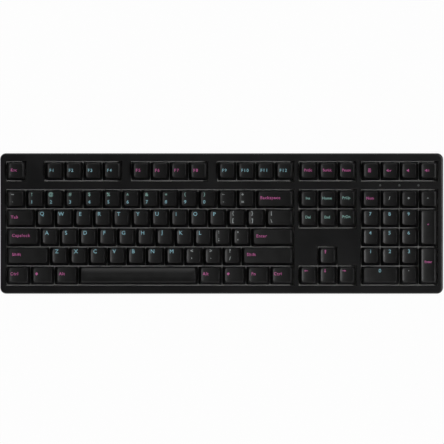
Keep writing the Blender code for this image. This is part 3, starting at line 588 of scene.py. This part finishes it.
addRun("numpad_keys", 2, 18.5, ["7", "8", "9"], "pad", "cyan")
addRun("numpad_keys", 2, 21.5, ["+"], "tall", "pink", 1, 2)
addRun("caps_lock_key", 3, 0, ["Capslock"], "word", "pink", 1.75)
for place, letter in enumerate("ASDFGHJKL"):
    addRun("key_" + letter.lower(), 3, 1.75 + place, [letter], "letter", "cyan")
addPairs("semicolon_and_quote_keys", 3, 10.75, [(":", ";"), ('"', "'")], "pale", "pale")
addRun("enter_key", 3, 12.75, ["Enter"], "word", "pink", 2.25)
addRun("numpad_keys", 3, 18.5, ["4", "5", "6"], "pad", "cyan")
addRun("left_shift_key", 4, 0, ["Shift"], "word", "pink", 2.25)
for place, letter in enumerate("ZXCVBNM"):
    addRun("key_" + letter.lower(), 4, 2.25 + place, [letter], "letter", "cyan")
addPairs("comma_to_right_shift_keys", 4, 9.25, [("<", ","), (">", "."), ("?", "/")], "pale", "pale")
addRun("comma_to_right_shift_keys", 4, 12.25, ["Shift"], "word", "pink", 2.75)
addRun("arrow_keys", 4, 16.25, ["up"], "arrow", "pink")
addRun("numpad_keys", 4, 18.5, ["1", "2", "3"], "pad", "cyan")
addRun("numpad_keys", 4, 21.5, ["Enter"], "tall", "pink", 1, 2)
addRun("left_modifier_keys", 5, 0, ["Ctrl"], "word", "pink", 1.25)
addRun("left_modifier_keys", 5, 1.25, ["home"], "glyph", "pink", 1.25)
addRun("left_modifier_keys", 5, 2.5, ["Alt"], "word", "pink", 1.25)
addRun("spacebar", 5, 3.75, [None], "word", "pink", 6.25)
addRun("right_modifier_keys", 5, 10, ["Alt"], "word", "pink", 1.25)
addRun("right_modifier_keys", 5, 11.25, ["home"], "glyph", "pink", 1.25)
addRun("right_modifier_keys", 5, 12.5, ["Fn", "Ctrl"], "word", "pink", 1.25)
addRun("arrow_keys", 5, 15.25, ["left", "down", "right"], "arrow", "pink")
addRun("numpad_keys", 5, 18.5, ["0"], "padWide", "cyan", 2)
addRun("numpad_keys", 5, 20.5, ["."], "pad", "pale")

# style: text size, letter spacing, alignment, place from the cell's left and back edges in mm from above
styles = {
    "letter": (legend["letterSize"], 1.0, "centre", 6.6, 5.5),
    "upper": (legend["digitSize"], 1.0, "centre", 6.0, 4.9),
    "lower": (legend["digitSize"], 1.0, "centre", 6.0, 12.4),
    "function": (legend["wordSize"], 1.3, "left", 4.5, 8.9),
    "word": (legend["wordSize"], 1.16, "left", 4.2, 8.6),
    "small": (legend["smallWordSize"], 1.02, "centre", 8.7, 8.7),
    "middle": (legend["digitSize"], 1.0, "centre", 8.9, 8.6),
    "pad": (legend["digitSize"] * 1.03, 1.0, "centre", 8.9, 5.5),
    "padWide": (legend["digitSize"] * 1.03, 1.0, "centre", 18.4, 5.5),
    "tall": (legend["smallWordSize"] * 0.92, 1.0, "centre", 9.2, 16.0),
    "icon": (0, 1.0, "centre", 8.8, 9.0),
    "arrow": (0, 1.0, "centre", 6.9, 5.7),
    "glyph": (0, 1.0, "left", 4.3, 8.7),
}


def placeKey(number, body, row, left, width, deep, labels):
    shape = capShape(row, width, deep, body == "spacebar")
    bm = keycapMesh(shape)
    bmesh.ops.recalc_face_normals(bm, faces=bm.faces)
    used = []
    for text, style, ink in labels:
        if ink not in used:
            used.append(ink)
        size, spacing, align, across, down = styles[style]
        down += legend["rowDown"][row]
        mesh = textMesh(text, size, spacing) if size else polygonMesh(marks[text])
        across += legend["rowAcross"][row] + legend["nudge"].get(body, legend["nudge"].get(text, 0.0))
        x = across / 1000 - width * deck["pitch"] / 2
        # the tilted deck carries the high tops towards the user
        lean = (cap["lift"] + shape["height"]) * math.tan(tilt)
        y = deep * deck["pitch"] / 2 - down / 1000 + lean
        addMark(bm, shape, mesh, align, x, y, 1 + used.index(ink))
        bpy.data.meshes.remove(mesh)
    x, y = keyCentre(row, left, width, deep)
    matrix = deckMatrix @ Matrix.Translation((x, y, cap["lift"]))
    obj = addObject(f"keycap_{number:03d}_{body}", bm, keycapAbs, *[inks[ink] for ink in used], matrix=matrix)
    smoothed(obj, 40)
    dress(obj, body, "keycap", body)


for number, key in enumerate(keys):
    placeKey(number, *key)
print("keycaps made:", len(keys))

# top case
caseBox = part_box("top_case")
case = {
    "halfX": (caseBox[1][0] - caseBox[0][0]) / 2,
    "halfY": (caseBox[1][1] - caseBox[0][1]) / 2,
    "bottom": 0.0010,
    "cornerRadius": 0.0060,
    "edgeRound": 0.0020,
    "lowRound": 0.0014,
    "wall": 0.0025,
    "floor": 0.0025,
    "deckHigh": 0.0080,
    "deckThick": 0.0022,
    "plate": 0.0015,
    "seamGap": 0.0003,
    "seamRound": 0.0002,
    "cutReach": 0.004,  # how far the hollow's cutter goes on past the seam
    "sideMargin": 0.0002,
    "endMargin": 0.0006,
    "openingCorner": 0.0007,
    "rim": 0.0004,
    "openings": [  # row, left edge, width, depth in key units
        (0, 0, 1, 1),
        (0, 2, 4, 1),
        (0, 6.5, 4, 1),
        (0, 11, 4, 1),
        (0, 15.25, 3, 1),
        (0, 18.5, 4, 1),
        (1, 0, 15, 5),
        (1, 15.25, 3, 2),
        (4, 16.25, 1, 1),
        (5, 15.25, 3, 1),
        (1, 18.5, 4, 5),
    ],
    "lightUnits": [19.5, 20.5, 21.5],
    "lightRadius": 0.0009,
    "lightGap": 0.0002,
    "lightRim": 0.00015,
}
innerRadius = case["cornerRadius"] - case["wall"]
lightY = fieldDepth / 2 - (1 + deck["rowStarts"][1]) / 2 * deck["pitch"]
lightX = [unit * deck["pitch"] - fieldWidth / 2 for unit in case["lightUnits"]]


def moved(bm, offset):
    bmesh.ops.translate(bm, vec=offset, verts=bm.verts)
    return bm


def joined(shapes):
    bm = bmesh.new()
    for shape in shapes:
        mesh = bpy.data.meshes.new("joined")
        shape.to_mesh(mesh)
        shape.free()
        bm.from_mesh(mesh)
        bpy.data.meshes.remove(mesh)
    return bm


def makeTopCase():
    high = deckHeight(case["deckHigh"])
    levels = roundedLevels(deckHeight(-case["plate"]), high, case["seamRound"], case["edgeRound"])
    shell = stacked(case["halfX"], case["halfY"], case["cornerRadius"], levels, cornerSteps=10)
    obj = addObject("top_case_shell", shell, caseAbs)
    inner = case["halfX"] - case["wall"], case["halfY"] - case["wall"], innerRadius
    ceiling = deckHeight(case["deckHigh"] - case["deckThick"])
    carve(obj, stacked(*inner, [(0, deckHeight(-case["cutReach"])), (0, ceiling)]))
    cuts = []
    for row, left, width, deep in case["openings"]:
        halfX = width * deck["pitch"] / 2 + case["sideMargin"]
        halfY = deep * deck["pitch"] / 2 + case["endMargin"]
        levels = flaredLevels(0.0, case["deckHigh"], case["rim"])
        x, y = keyCentre(row, left, width, deep)
        cuts.append(moved(stacked(halfX, halfY, case["openingCorner"], levels), (x, y, 0)))
    radius = case["lightRadius"] + case["lightGap"]
    for x in lightX:
        levels = flaredLevels(0.0, case["deckHigh"], case["lightRim"])
        cuts.append(moved(stacked(radius, radius, radius, levels), (x, lightY, 0)))
    carve(obj, joined(cuts), matrix=deckMatrix)
    smoothed(obj)
    dress(obj, "case", "case", "top_case")


makeTopCase()
print("top case made")

# underside: bottom case, pads, feet and screws
under = {
    "footHalfX": 0.0225,
    "footLength": 0.0180,  # hinge axis to tip
    "footThick": 0.0040,
    "footSideInset": 0.0450,
    "footBackInset": 0.0130,  # hinge axis from the case's back
    "footSink": 0.0003,
    "footGap": 0.0006,
    "fingerGap": 0.0070,
    "pinRadius": 0.0012,
    "pinReach": 0.0018,
    "pinGap": 0.0002,
    "pocketWall": 0.0035,
    "pocketRoof": 0.0015,
    "pocketCorner": 0.0008,
    "pocketOuterCorner": 0.0010,
    "padHalf": (0.0200, 0.0050),
    "padThick": 0.0018,
    "padCorner": 0.0030,
    "padRound": 0.0005,
    "padRim": 0.0002,
    "padEndInset": 0.0150,
    "frontPadInset": 0.0450,
    "backPadInset": 0.1100,
    "padGrooves": [-0.0030, -0.0010, 0.0010, 0.0030],
    "grooveHalf": 0.0004,
    "grooveDepth": 0.0003,
    "grooveInset": 0.003,  # from the pad's end
    "cutReach": 0.001,  # how far a groove's cutter goes on past the face
    "screwPairs": [(0.2080, -0.0200), (0.1000, -0.0540), (0.0520, 0.0560)],  # each with its mirror image
    "screwCup": 0.0034,
    "screwSink": 0.0014,
    "screwRim": 0.0003,
    "screwHead": 0.0027,
    "labelHalf": (0.0350, 0.0140),
    "labelSink": 0.0003,
    "labelRim": 0.0001,
    "labelCorner": 0.0020,
    "ribs": 7,
    "ribHalf": 0.0050,
    "ribDepth": 0.0030,
    "ribCorner": 0.0003,
    "ribDrop": 0.0002,  # below the seam
}
screwPlaces = [(sign * x, y) for x, y in under["screwPairs"] for sign in (-1, 1)]
hingeY = case["halfY"] - under["footBackInset"]
hingeZ = case["bottom"] + under["footSink"] + under["footThick"] / 2
footX = case["halfX"] - under["footSideInset"]
pocketFront = hingeY - under["footLength"] - under["fingerGap"]
pocketBack = hingeY + under["footThick"] / 2 + under["footGap"]
pocketHigh = hingeZ + under["footThick"] / 2 + under["footGap"]
padPlaces = {}
for end, endSign, inset in (("front", -1, under["frontPadInset"]), ("back", 1, under["backPadInset"])):
    for side, sideSign in (("left", -1), ("right", 1)):
        x = sideSign * (case["halfX"] - inset)
        padPlaces[f"{end}_{side}_pad"] = (x, endSign * (case["halfY"] - under["padEndInset"]), 0)

# the cable's socket hangs under the board, behind a hole in the back wall
socket = {
    "x": -0.0920,
    "deckZ": -0.0085,
    "setback": 0.0055,
    "halfX": 0.0045,
    "halfY": 0.0016,
    "length": 0.0074,
    "wall": 0.0004,
    "corner": 0.0014,
    "holeHalf": (0.0065, 0.0037),
    "holeCorner": 0.0020,
    "holeRim": 0.0005,
    "lip": (0.0001, 0.0002),  # how far in and how far down it is rolled
    "tongueHalf": (0.00335, 0.00035),
    "tongueCorner": 0.0003,
    "tongueSetbacks": (0.0014, 0.0012),  # its shoulder and its end, from the mouth
    "tongueChamfer": 0.0002,
    "contacts": 12,
    "contactPitch": 0.0005,
    "contactHalf": (0.00013, 0.00038),
    "contactCorner": 0.00001,
    "contactStart": 0.0006,
    "contactSetback": 0.0018,
}
mouthY = case["halfY"] - socket["setback"]


def pocketBlock(extraSide, extraTop, low):
    halfX = under["footHalfX"] + under["footGap"] + extraSide
    halfY = (pocketBack - pocketFront) / 2 + extraSide
    levels = [(0, low), (0, pocketHigh + extraTop)]
    return halfX, halfY, levels


def makeBottomCase():
    low = case["bottom"]
    seam = deckHeight(-case["plate"] - case["seamGap"])
    levels = roundedLevels(low, seam, case["lowRound"], case["seamRound"])
    shell = stacked(case["halfX"], case["halfY"], case["cornerRadius"], levels, cornerSteps=10)
    obj = addObject("bottom_case_shell", shell, caseAbs)
    inner = case["halfX"] - case["wall"], case["halfY"] - case["wall"], innerRadius
    carve(obj, stacked(*inner, [(0, low + case["floor"]), (0, deckHeight(case["cutReach"]))]))
    added = []
    pocketY = (pocketFront + pocketBack) / 2
    for sign in (-1, 1):
        halfX, halfY, levels = pocketBlock(under["pocketWall"], under["pocketRoof"], low + case["floor"] / 2)
        block = stacked(halfX, halfY, under["pocketOuterCorner"], levels)
        added.append(moved(block, (sign * footX, pocketY, 0)))
    for n in range(under["ribs"]):
        x = (n - (under["ribs"] - 1) / 2) * fieldWidth / under["ribs"]
        for sign in (-1, 1):
            y = sign * (case["halfY"] - case["wall"] / 2 - under["ribDepth"] / 2)
            top = lambda px, py, y=y: seam(px, py + y) - under["ribDrop"]
            levels = [(0, low + case["floor"] / 2), (0, top)]
            rib = stacked(under["ribHalf"], under["ribDepth"] / 2, under["ribCorner"], levels)
            added.append(moved(rib, (x, y, 0)))
    carve(obj, joined(added), "UNION")
    cuts = []
    for sign in (-1, 1):
        halfX, halfY, _ = pocketBlock(0, 0, low)
        levels = flaredLevels(pocketHigh, low, case["rim"], False)
        cuts.append(moved(stacked(halfX, halfY, under["pocketCorner"], levels), (sign * footX, pocketY, 0)))
    for place in padPlaces.values():
        levels = flaredLevels(under["padThick"] + case["seamGap"], low, under["padRim"], False)
        halves = [half + case["seamGap"] for half in under["padHalf"]]
        cuts.append(moved(stacked(*halves, under["padCorner"] + case["seamGap"], levels), place))
    for x, y in screwPlaces:
        levels = flaredLevels(low + under["screwSink"], low, under["screwRim"], False)
        cuts.append(moved(stacked(*[under["screwCup"]] * 3, levels, cornerSteps=8), (x, y, 0)))
    levels = flaredLevels(low + under["labelSink"], low, under["labelRim"], False)
    cuts.append(stacked(*under["labelHalf"], under["labelCorner"], levels))
    carve(obj, joined(cuts))
    for sign in (-1, 1):
        reach = under["footHalfX"] + under["pinReach"] + under["footGap"]
        bore = stacked(*[under["pinRadius"] + under["pinGap"]] * 3, [(0, -reach), (0, reach)])
        hinge = Matrix.Translation((sign * footX, hingeY, hingeZ))
        carve(obj, bore, matrix=hinge @ Matrix.Rotation(math.pi / 2, 4, "Y"))
    mouth = Matrix.Translation((deck["side"] + socket["x"], mouthY, deckHeight(socket["deckZ"])(0, mouthY)))
    levels = flaredLevels(0.0, socket["setback"], socket["holeRim"])
    hole = stacked(*socket["holeHalf"], socket["holeCorner"], levels)
    carve(obj, hole, matrix=mouth @ Matrix.Rotation(-math.pi / 2, 4, "X"))
    smoothed(obj)
    dress(obj, "case", "case", "bottom_case")


def makePads():
    for name, place in padPlaces.items():
        levels = roundedLevels(0.0, under["padThick"], under["padRound"], 0.0)
        obj = addObject(name + "_rubber", stacked(*under["padHalf"], under["padCorner"], levels), padRubber)
        grooves = []
        for y in under["padGrooves"]:
            levels = [(0, -under["cutReach"]), (0, under["grooveDepth"])]
            groove = stacked(under["padHalf"][0] - under["grooveInset"], *[under["grooveHalf"]] * 2, levels)
            grooves.append(moved(groove, (0, y, 0)))
        carve(obj, joined(grooves))
        obj.matrix_world = Matrix.Translation(place)
        smoothed(obj)
        dress(obj, "case", "pad", name)


foot = {
    "tipRound": 0.0010,
    "edgeRound": 0.0003,
    "corner": 0.0003,
    "stripPlace": 0.0007,  # middle of the rubber strip, from the tip
    "slotHalf": (0.0170, 0.0008, 0.0013),
    "stripHalf": (0.0168, 0.0006, 0.0011),
    "stripRound": 0.0002,
    "grips": 3,
    "gripHalf": (0.0150, 0.0003),
    "gripDepth": 0.0003,
    "gripStart": 0.0030,  # from the tip
    "gripPitch": 0.0012,
    "hollowHalf": (0.0190, 0.0045),
    "hollowCorner": 0.0008,
    "hollowDepth": 0.0020,
    "hollowPlace": -0.0085,  # its middle, from the hinge
    "ribPlaces": (-0.0095, 0, 0.0095),
    "ribHalf": (0.0004, 0.0047),
    "ribCorner": 0.0002,
    "ribDrops": (0.0022, 0.0004),  # its lower and upper edge, under the foot's face
}


def makeFoot(side, sign):
    halfX, long, thick = under["footHalfX"], under["footLength"], under["footThick"] / 2
    bm = bmesh.new()
    size = Matrix.Diagonal((2 * halfX, long + thick, 2 * thick, 1))
    bmesh.ops.create_cube(bm, size=1, matrix=Matrix.Translation((0, (thick - long) / 2, 0)) @ size)
    hingeEnd = (thick * 0.98, 8, lambda y: y > 0)
    tipEnd = (foot["tipRound"], 4, lambda y: y < -long / 2)
    for radius, steps, chosen in (hingeEnd, tipEnd):
        across = [e for e in bm.edges if abs(e.verts[0].co.x - e.verts[1].co.x) > halfX]
        edges = [e for e in across if chosen(e.verts[0].co.y)]
        bmesh.ops.bevel(bm, geom=edges, offset=radius, segments=steps, profile=0.5, affect="EDGES")
    upright = [e for e in bm.edges if abs(e.verts[0].co.x - e.verts[1].co.x) < 5e-7]
    rims = [e for e in upright if abs(abs(e.verts[0].co.x) - halfX) < 5e-7]
    bmesh.ops.bevel(bm, geom=rims, offset=foot["edgeRound"], segments=2, profile=0.5, affect="EDGES")
    obj = addObject(f"{side}_flip_foot_moulding", bm, footAbs, padRubber)
    tipY = foot["stripPlace"] - long
    slotX, slotY, slotZ = foot["slotHalf"]
    slot = stacked(slotX, slotY, foot["corner"], [(0, -slotZ), (0, slotZ)])
    cuts = [moved(slot, (0, tipY, 0))]
    for n in range(foot["grips"]):  # grip lines by the tip, on the face that shows when folded
        levels = [(0, -thick - under["cutReach"]), (0, foot["gripDepth"] - thick)]
        groove = stacked(*foot["gripHalf"], foot["corner"], levels)
        cuts.append(moved(groove, (0, foot["gripStart"] + n * foot["gripPitch"] - long, 0)))
    levels = flaredLevels(thick - foot["hollowDepth"], thick, foot["edgeRound"])
    hollow = stacked(*foot["hollowHalf"], foot["hollowCorner"], levels)
    cuts.append(moved(hollow, (0, foot["hollowPlace"], 0)))
    carve(obj, joined(cuts))
    stripX, stripY, stripZ = foot["stripHalf"]
    levels = roundedLevels(-stripZ, stripZ, foot["stripRound"], foot["stripRound"])
    tip = stacked(stripX, stripY, foot["corner"], levels)
    for face in tip.faces:
        face.material_index = 1
    pinEnd = halfX + under["pinReach"]
    levels = roundedLevels(-pinEnd, pinEnd, foot["edgeRound"], foot["edgeRound"])
    pins = stacked(*[under["pinRadius"]] * 3, levels)
    bmesh.ops.rotate(pins, verts=pins.verts, matrix=Matrix.Rotation(math.pi / 2, 3, "Y"))
    ribs = []
    for x in foot["ribPlaces"]:
        levels = [(0, thick - drop) for drop in foot["ribDrops"]]
        rib = stacked(*foot["ribHalf"], foot["ribCorner"], levels)
        ribs.append(moved(rib, (x, foot["hollowPlace"], 0)))
    bm = joined([moved(tip, (0, tipY, 0)), pins, *ribs])
    bmesh.ops.recalc_face_normals(bm, faces=bm.faces)
    bm.from_mesh(obj.data)
    bm.to_mesh(obj.data)
    bm.free()
    obj.matrix_world = Matrix.Translation((sign * footX, hingeY, hingeZ))
    smoothed(obj)
    dress(obj, f"{side}_flip_foot", "foot", f"{side}_flip_foot")


screw = {
    "recess": 0.0003,  # from the case's underside to the head
    "seatGap": 0.00002,
    "round": 0.0007,
    "slotHalf": (0.0017, 0.0004),
    "slotCorner": 0.0001,
    "slotDepth": 0.0010,
    "turnDeg": 37,  # from one screw to the next, so that no two stop at the same angle
}


def makeScrews():
    for number, (x, y) in enumerate(screwPlaces):
        seat = under["screwSink"]
        levels = roundedLevels(screw["recess"], seat - screw["seatGap"], screw["round"], 0.0)
        head = stacked(*[under["screwHead"]] * 3, levels, cornerSteps=8)
        obj = addObject(f"case_screw_{number}", head, screwSteel)
        levels = [(0, -under["cutReach"]), (0, screw["slotDepth"])]
        slots = [stacked(*screw["slotHalf"], screw["slotCorner"], levels) for _ in range(2)]
        bmesh.ops.rotate(slots[1], verts=slots[1].verts, matrix=Matrix.Rotation(math.pi / 2, 3, "Z"))
        carve(obj, joined(slots))
        turned = Matrix.Rotation(math.radians(screw["turnDeg"] * number), 4, "Z")
        obj.matrix_world = Matrix.Translation((x, y, case["bottom"])) @ turned
        smoothed(obj)
        dress(obj, "case", "foot")


makeBottomCase()
makePads()
makeFoot("left", -1)
makeFoot("right", 1)
makeScrews()
print("underside made")


# socket, light guide and stabilizer wire
def makeSocket():
    long, wall = socket["length"], socket["wall"]
    # up the outside, over the rolled lip and down the inside
    lipIn, lipDown = socket["lip"]
    lip = [(0, long - lipDown), (lipIn, long), (wall - lipIn, long), (wall, long - lipDown)]
    bm = stacked(socket["halfX"], socket["halfY"], socket["corner"], [(0, 0), *lip, (wall, wall)])
    shoulder, end = [long - setback for setback in socket["tongueSetbacks"]]
    levels = [(0, wall), (0, shoulder), (socket["tongueChamfer"], end)]
    tongue = stacked(*socket["tongueHalf"], socket["tongueCorner"], levels)
    for face in tongue.faces:
        face.material_index = 1
    strips = []
    for n in range(socket["contacts"]):
        x = (n - (socket["contacts"] - 1) / 2) * socket["contactPitch"]
        levels = [(0, wall + socket["contactStart"]), (0, long - socket["contactSetback"])]
        strip = stacked(*socket["contactHalf"], socket["contactCorner"], levels)
        for face in strip.faces:
            face.material_index = 2
        strips.append(moved(strip, (x, 0, 0)))
    y = (mouthY - deck["shift"] + socket["deckZ"] * math.sin(tilt)) / math.cos(tilt)
    place = deckMatrix @ Matrix.Translation((socket["x"], y - long, socket["deckZ"]))
    matrix = place @ Matrix.Rotation(-math.pi / 2, 4, "X")
    whole = joined([bm, tongue, *strips])
    obj = addObject("usb_c_socket_shell", whole, socketSteel, boardNylon, contactGold, matrix=matrix)
    smoothed(obj)
    dress(obj, "case", "socket", "usb_c_socket")


guide = {
    "barHalfY": 0.0020,
    "barThick": 0.0010,
    "barEnd": 0.0030,
    "barCorner": 0.0010,
    "lowRound": 0.0001,
    "highRound": 0.0002,
    "gap": 0.0003,
    "dome": 0.0003,
}


def makeLightGuide():
    high = case["deckHigh"] - case["deckThick"] - guide["gap"]
    halfX = (lightX[-1] - lightX[0]) / 2 + guide["barEnd"]
    levels = roundedLevels(high - guide["barThick"], high, guide["lowRound"], guide["highRound"])
    bar = stacked(halfX, guide["barHalfY"], guide["barCorner"], levels)
    shapes = [moved(bar, ((lightX[0] + lightX[-1]) / 2, lightY, 0))]
    for x in lightX:
        levels = roundedLevels(high - guide["barThick"] / 2, case["deckHigh"], 0.0, guide["dome"])
        shapes.append(moved(stacked(*[case["lightRadius"]] * 3, levels, cornerSteps=8), (x, lightY, 0)))
    obj = addObject("light_guide_moulding", joined(shapes), lightPc, matrix=deckMatrix)
    smoothed(obj)
    dress(obj, "case", "light_guide", "indicator_light_guide")


wire = {
    "radius": 0.0006,
    "halfSpan": 0.0500,
    "arm": 0.0070,
    "bend": 0.0018,
    "lift": 0.0009,
    "toSwitch": 0.0076,
    "raise": 0.0043,  # height of the arms' ends above the long run, at rest
}


def makeWire():
    half, bend = wire["halfSpan"], wire["bend"]
    turns = [math.pi / 2 * n / 8 for n in range(9)]
    side = [(half - bend + bend * math.sin(turn), bend - bend * math.cos(turn)) for turn in turns]
    side.append((half, wire["arm"]))
    points = [(-x, y) for x, y in reversed(side)] + side
    curve = bpy.data.curves.new("wire", "CURVE")
    curve.dimensions = "3D"
    curve.bevel_depth = wire["radius"]
    curve.bevel_resolution = 4
    curve.use_fill_caps = True
    spline = curve.splines.new("POLY")
    spline.points.add(len(points) - 1)
    for point, (x, y) in zip(spline.points, points):
        point.co = (x, y, 0, 1)
    holder = bpy.data.objects.new("wire", curve)
    scene.collection.objects.link(holder)
    bpy.context.view_layer.update()
    mesh = bpy.data.meshes.new_from_object(holder.evaluated_get(bpy.context.evaluated_depsgraph_get()))
    bpy.data.objects.remove(holder)
    bm = bmesh.new()
    bm.from_mesh(mesh)
    x, y = keyCentre(5, 3.75, 6.25)
    raised = Matrix.Rotation(math.asin(wire["raise"] / wire["arm"]), 4, "X")
    matrix = deckMatrix @ Matrix.Translation((x, y - wire["toSwitch"], wire["lift"])) @ raised
    obj = addObject("stabilizer_wire", bm, springSteel, matrix=matrix)
    smoothed(obj)
    dress(obj, "spacebar_stabilizer_wire", "wire", "spacebar_stabilizer_wire")


makeSocket()
makeLightGuide()
makeWire()

# finishes of the CAD nodes that stay
for node, finish in (("switch_plate", plateCoat), ("circuit_board", boardNylon)):
    mesh = frame["nodes"][node].data
    mesh.materials.clear()
    mesh.materials.append(finish)
print("socket, light guide and wire made")

# floor, light and camera
studio = {
    "floorHalf": 8.0,
    "floorColour": "#f4f4f4",
    "floorGlow": 0.975,  # share of plain white that the camera sees, the rest shows the shadow
    "fill": 0.03,
    "lamps": [
        # name, compass angle from the right-hand side, angle from overhead, distance, size, power
        ("right_softbox", 0, 28, 9.0, (5.0, 1.6), 205.0),
        ("right_strip", 0, 27, 9.0, (0.6, 1.6), 45.0),
        ("back_softbox", 90, 44, 4.5, (3.0, 2.4), 20.0),
        ("front_strip", -90, 60, 4.5, (3.0, 0.5), 8.0),
    ],
    "lens": 1600.0,
    "pixelMm": 0.99478,
    "imagePixels": 444,
    "centreX": 0.0004,
    "centreY": 0.0015,
    "focusHeight": 0.018,
}

floorMesh = bpy.data.meshes.new("floor")
half = studio["floorHalf"]
corners = [(-half, -half, 0), (half, -half, 0), (half, half, 0), (-half, half, 0)]
floorMesh.from_pydata(corners, [], [(0, 1, 2, 3)])
floor = bpy.data.objects.new("floor", floorMesh)
scene.collection.objects.link(floor)
floorPaint, floorTree, floorShader = newMaterial("matt_white_sweep", studio["floorColour"], 0.9)
lightPath = addNode(floorTree, "ShaderNodeLightPath")
mirrorOrGlass = addNode(floorTree, "ShaderNodeMath", {"operation": "MAXIMUM"})
floorTree.links.new(lightPath.outputs["Is Glossy Ray"], mirrorOrGlass.inputs[0])
floorTree.links.new(lightPath.outputs["Is Transmission Ray"], mirrorOrGlass.inputs[1])
seen = addNode(floorTree, "ShaderNodeMath", {"operation": "MAXIMUM"})
floorTree.links.new(lightPath.outputs["Is Camera Ray"], seen.inputs[0])
floorTree.links.new(mirrorOrGlass.outputs[0], seen.inputs[1])
share = addNode(floorTree, "ShaderNodeMath", {"operation": "MULTIPLY"})
floorTree.links.new(seen.outputs[0], share.inputs[0])
share.inputs[1].default_value = studio["floorGlow"]
glow = addNode(floorTree, "ShaderNodeEmission", {"Color": (1, 1, 1, 1), "Strength": 1.0})
mix = addNode(floorTree, "ShaderNodeMixShader")
floorTree.links.new(share.outputs[0], mix.inputs[0])
floorTree.links.new(floorShader.outputs[0], mix.inputs[1])
floorTree.links.new(glow.outputs[0], mix.inputs[2])
# seen from below the floor is clear, so that the underside can be looked at
clear = addNode(floorTree, "ShaderNodeBsdfTransparent")
facing = addNode(floorTree, "ShaderNodeNewGeometry")
oneSided = addNode(floorTree, "ShaderNodeMixShader")
floorTree.links.new(facing.outputs["Backfacing"], oneSided.inputs[0])
floorTree.links.new(mix.outputs[0], oneSided.inputs[1])
floorTree.links.new(clear.outputs[0], oneSided.inputs[2])
floorTree.links.new(oneSided.outputs[0], floorTree.nodes["Material Output"].inputs["Surface"])
floorMesh.materials.append(floorPaint)

world = bpy.data.worlds.new("studio")
scene.world = world
world.use_nodes = True
sky = world.node_tree
sky.nodes.clear()
skyOut = addNode(sky, "ShaderNodeOutputWorld")
fillLight = addNode(sky, "ShaderNodeBackground", {"Color": (1, 1, 1, 1), "Strength": studio["fill"]})
backdrop = addNode(sky, "ShaderNodeBackground", {"Color": (1, 1, 1, 1), "Strength": 1.0})
skyPath = addNode(sky, "ShaderNodeLightPath")
# the white sweep rises to a third of the way up, above it the studio is dark
outward = addNode(sky, "ShaderNodeTexCoord").outputs["Generated"]
direction = addNode(sky, "ShaderNodeSeparateXYZ", (), {"Vector": outward})
sweep = addNode(
    sky,
    "ShaderNodeMapRange",
    {"From Min": 0.15, "From Max": 0.4, "To Min": 1.0, "To Max": 0.0},
    {"Value": direction.outputs["Z"]},
)
mirrored = addNode(sky, "ShaderNodeMath", {"operation": "MAXIMUM"})
sky.links.new(skyPath.outputs["Is Glossy Ray"], mirrored.inputs[0])
sky.links.new(skyPath.outputs["Is Transmission Ray"], mirrored.inputs[1])
reflected = addNode(sky, "ShaderNodeMath", {"operation": "MULTIPLY"})
sky.links.new(mirrored.outputs[0], reflected.inputs[0])
sky.links.new(sweep.outputs["Result"], reflected.inputs[1])
shown = addNode(sky, "ShaderNodeMath", {"operation": "MAXIMUM"})
sky.links.new(skyPath.outputs["Is Camera Ray"], shown.inputs[0])
sky.links.new(reflected.outputs[0], shown.inputs[1])
skyMix = addNode(sky, "ShaderNodeMixShader")
sky.links.new(shown.outputs[0], skyMix.inputs[0])
sky.links.new(fillLight.outputs[0], skyMix.inputs[1])
sky.links.new(backdrop.outputs[0], skyMix.inputs[2])
sky.links.new(skyMix.outputs[0], skyOut.inputs["Surface"])

for name, compass, fromTop, away, size, power in studio["lamps"]:
    lamp = bpy.data.lights.new(name, "AREA")
    lamp.shape = "RECTANGLE"
    lamp.size, lamp.size_y = size
    lamp.energy = power
    holder = bpy.data.objects.new(name, lamp)
    scene.collection.objects.link(holder)
    turn, down = math.radians(compass), math.radians(fromTop)
    towards = Vector((math.cos(turn) * math.sin(down), math.sin(turn) * math.sin(down), math.cos(down)))
    holder.location = towards * away
    holder.rotation_euler = (-towards).to_track_quat("-Z", "Y").to_euler()
    holder.visible_camera = False

camera = bpy.data.cameras.new("camera")
camera.lens = studio["lens"]
camera.sensor_width = 36.0
viewWidth = studio["imagePixels"] * studio["pixelMm"] / 1000
camera.clip_start, camera.clip_end = 0.1, 100.0
cameraHolder = bpy.data.objects.new("camera", camera)
scene.collection.objects.link(cameraHolder)
distance = viewWidth * camera.lens / camera.sensor_width
cameraHolder.location = (studio["centreX"], studio["centreY"], studio["focusHeight"] + distance)
scene.camera = cameraHolder
print("studio made, camera", round(distance, 2), "m away")
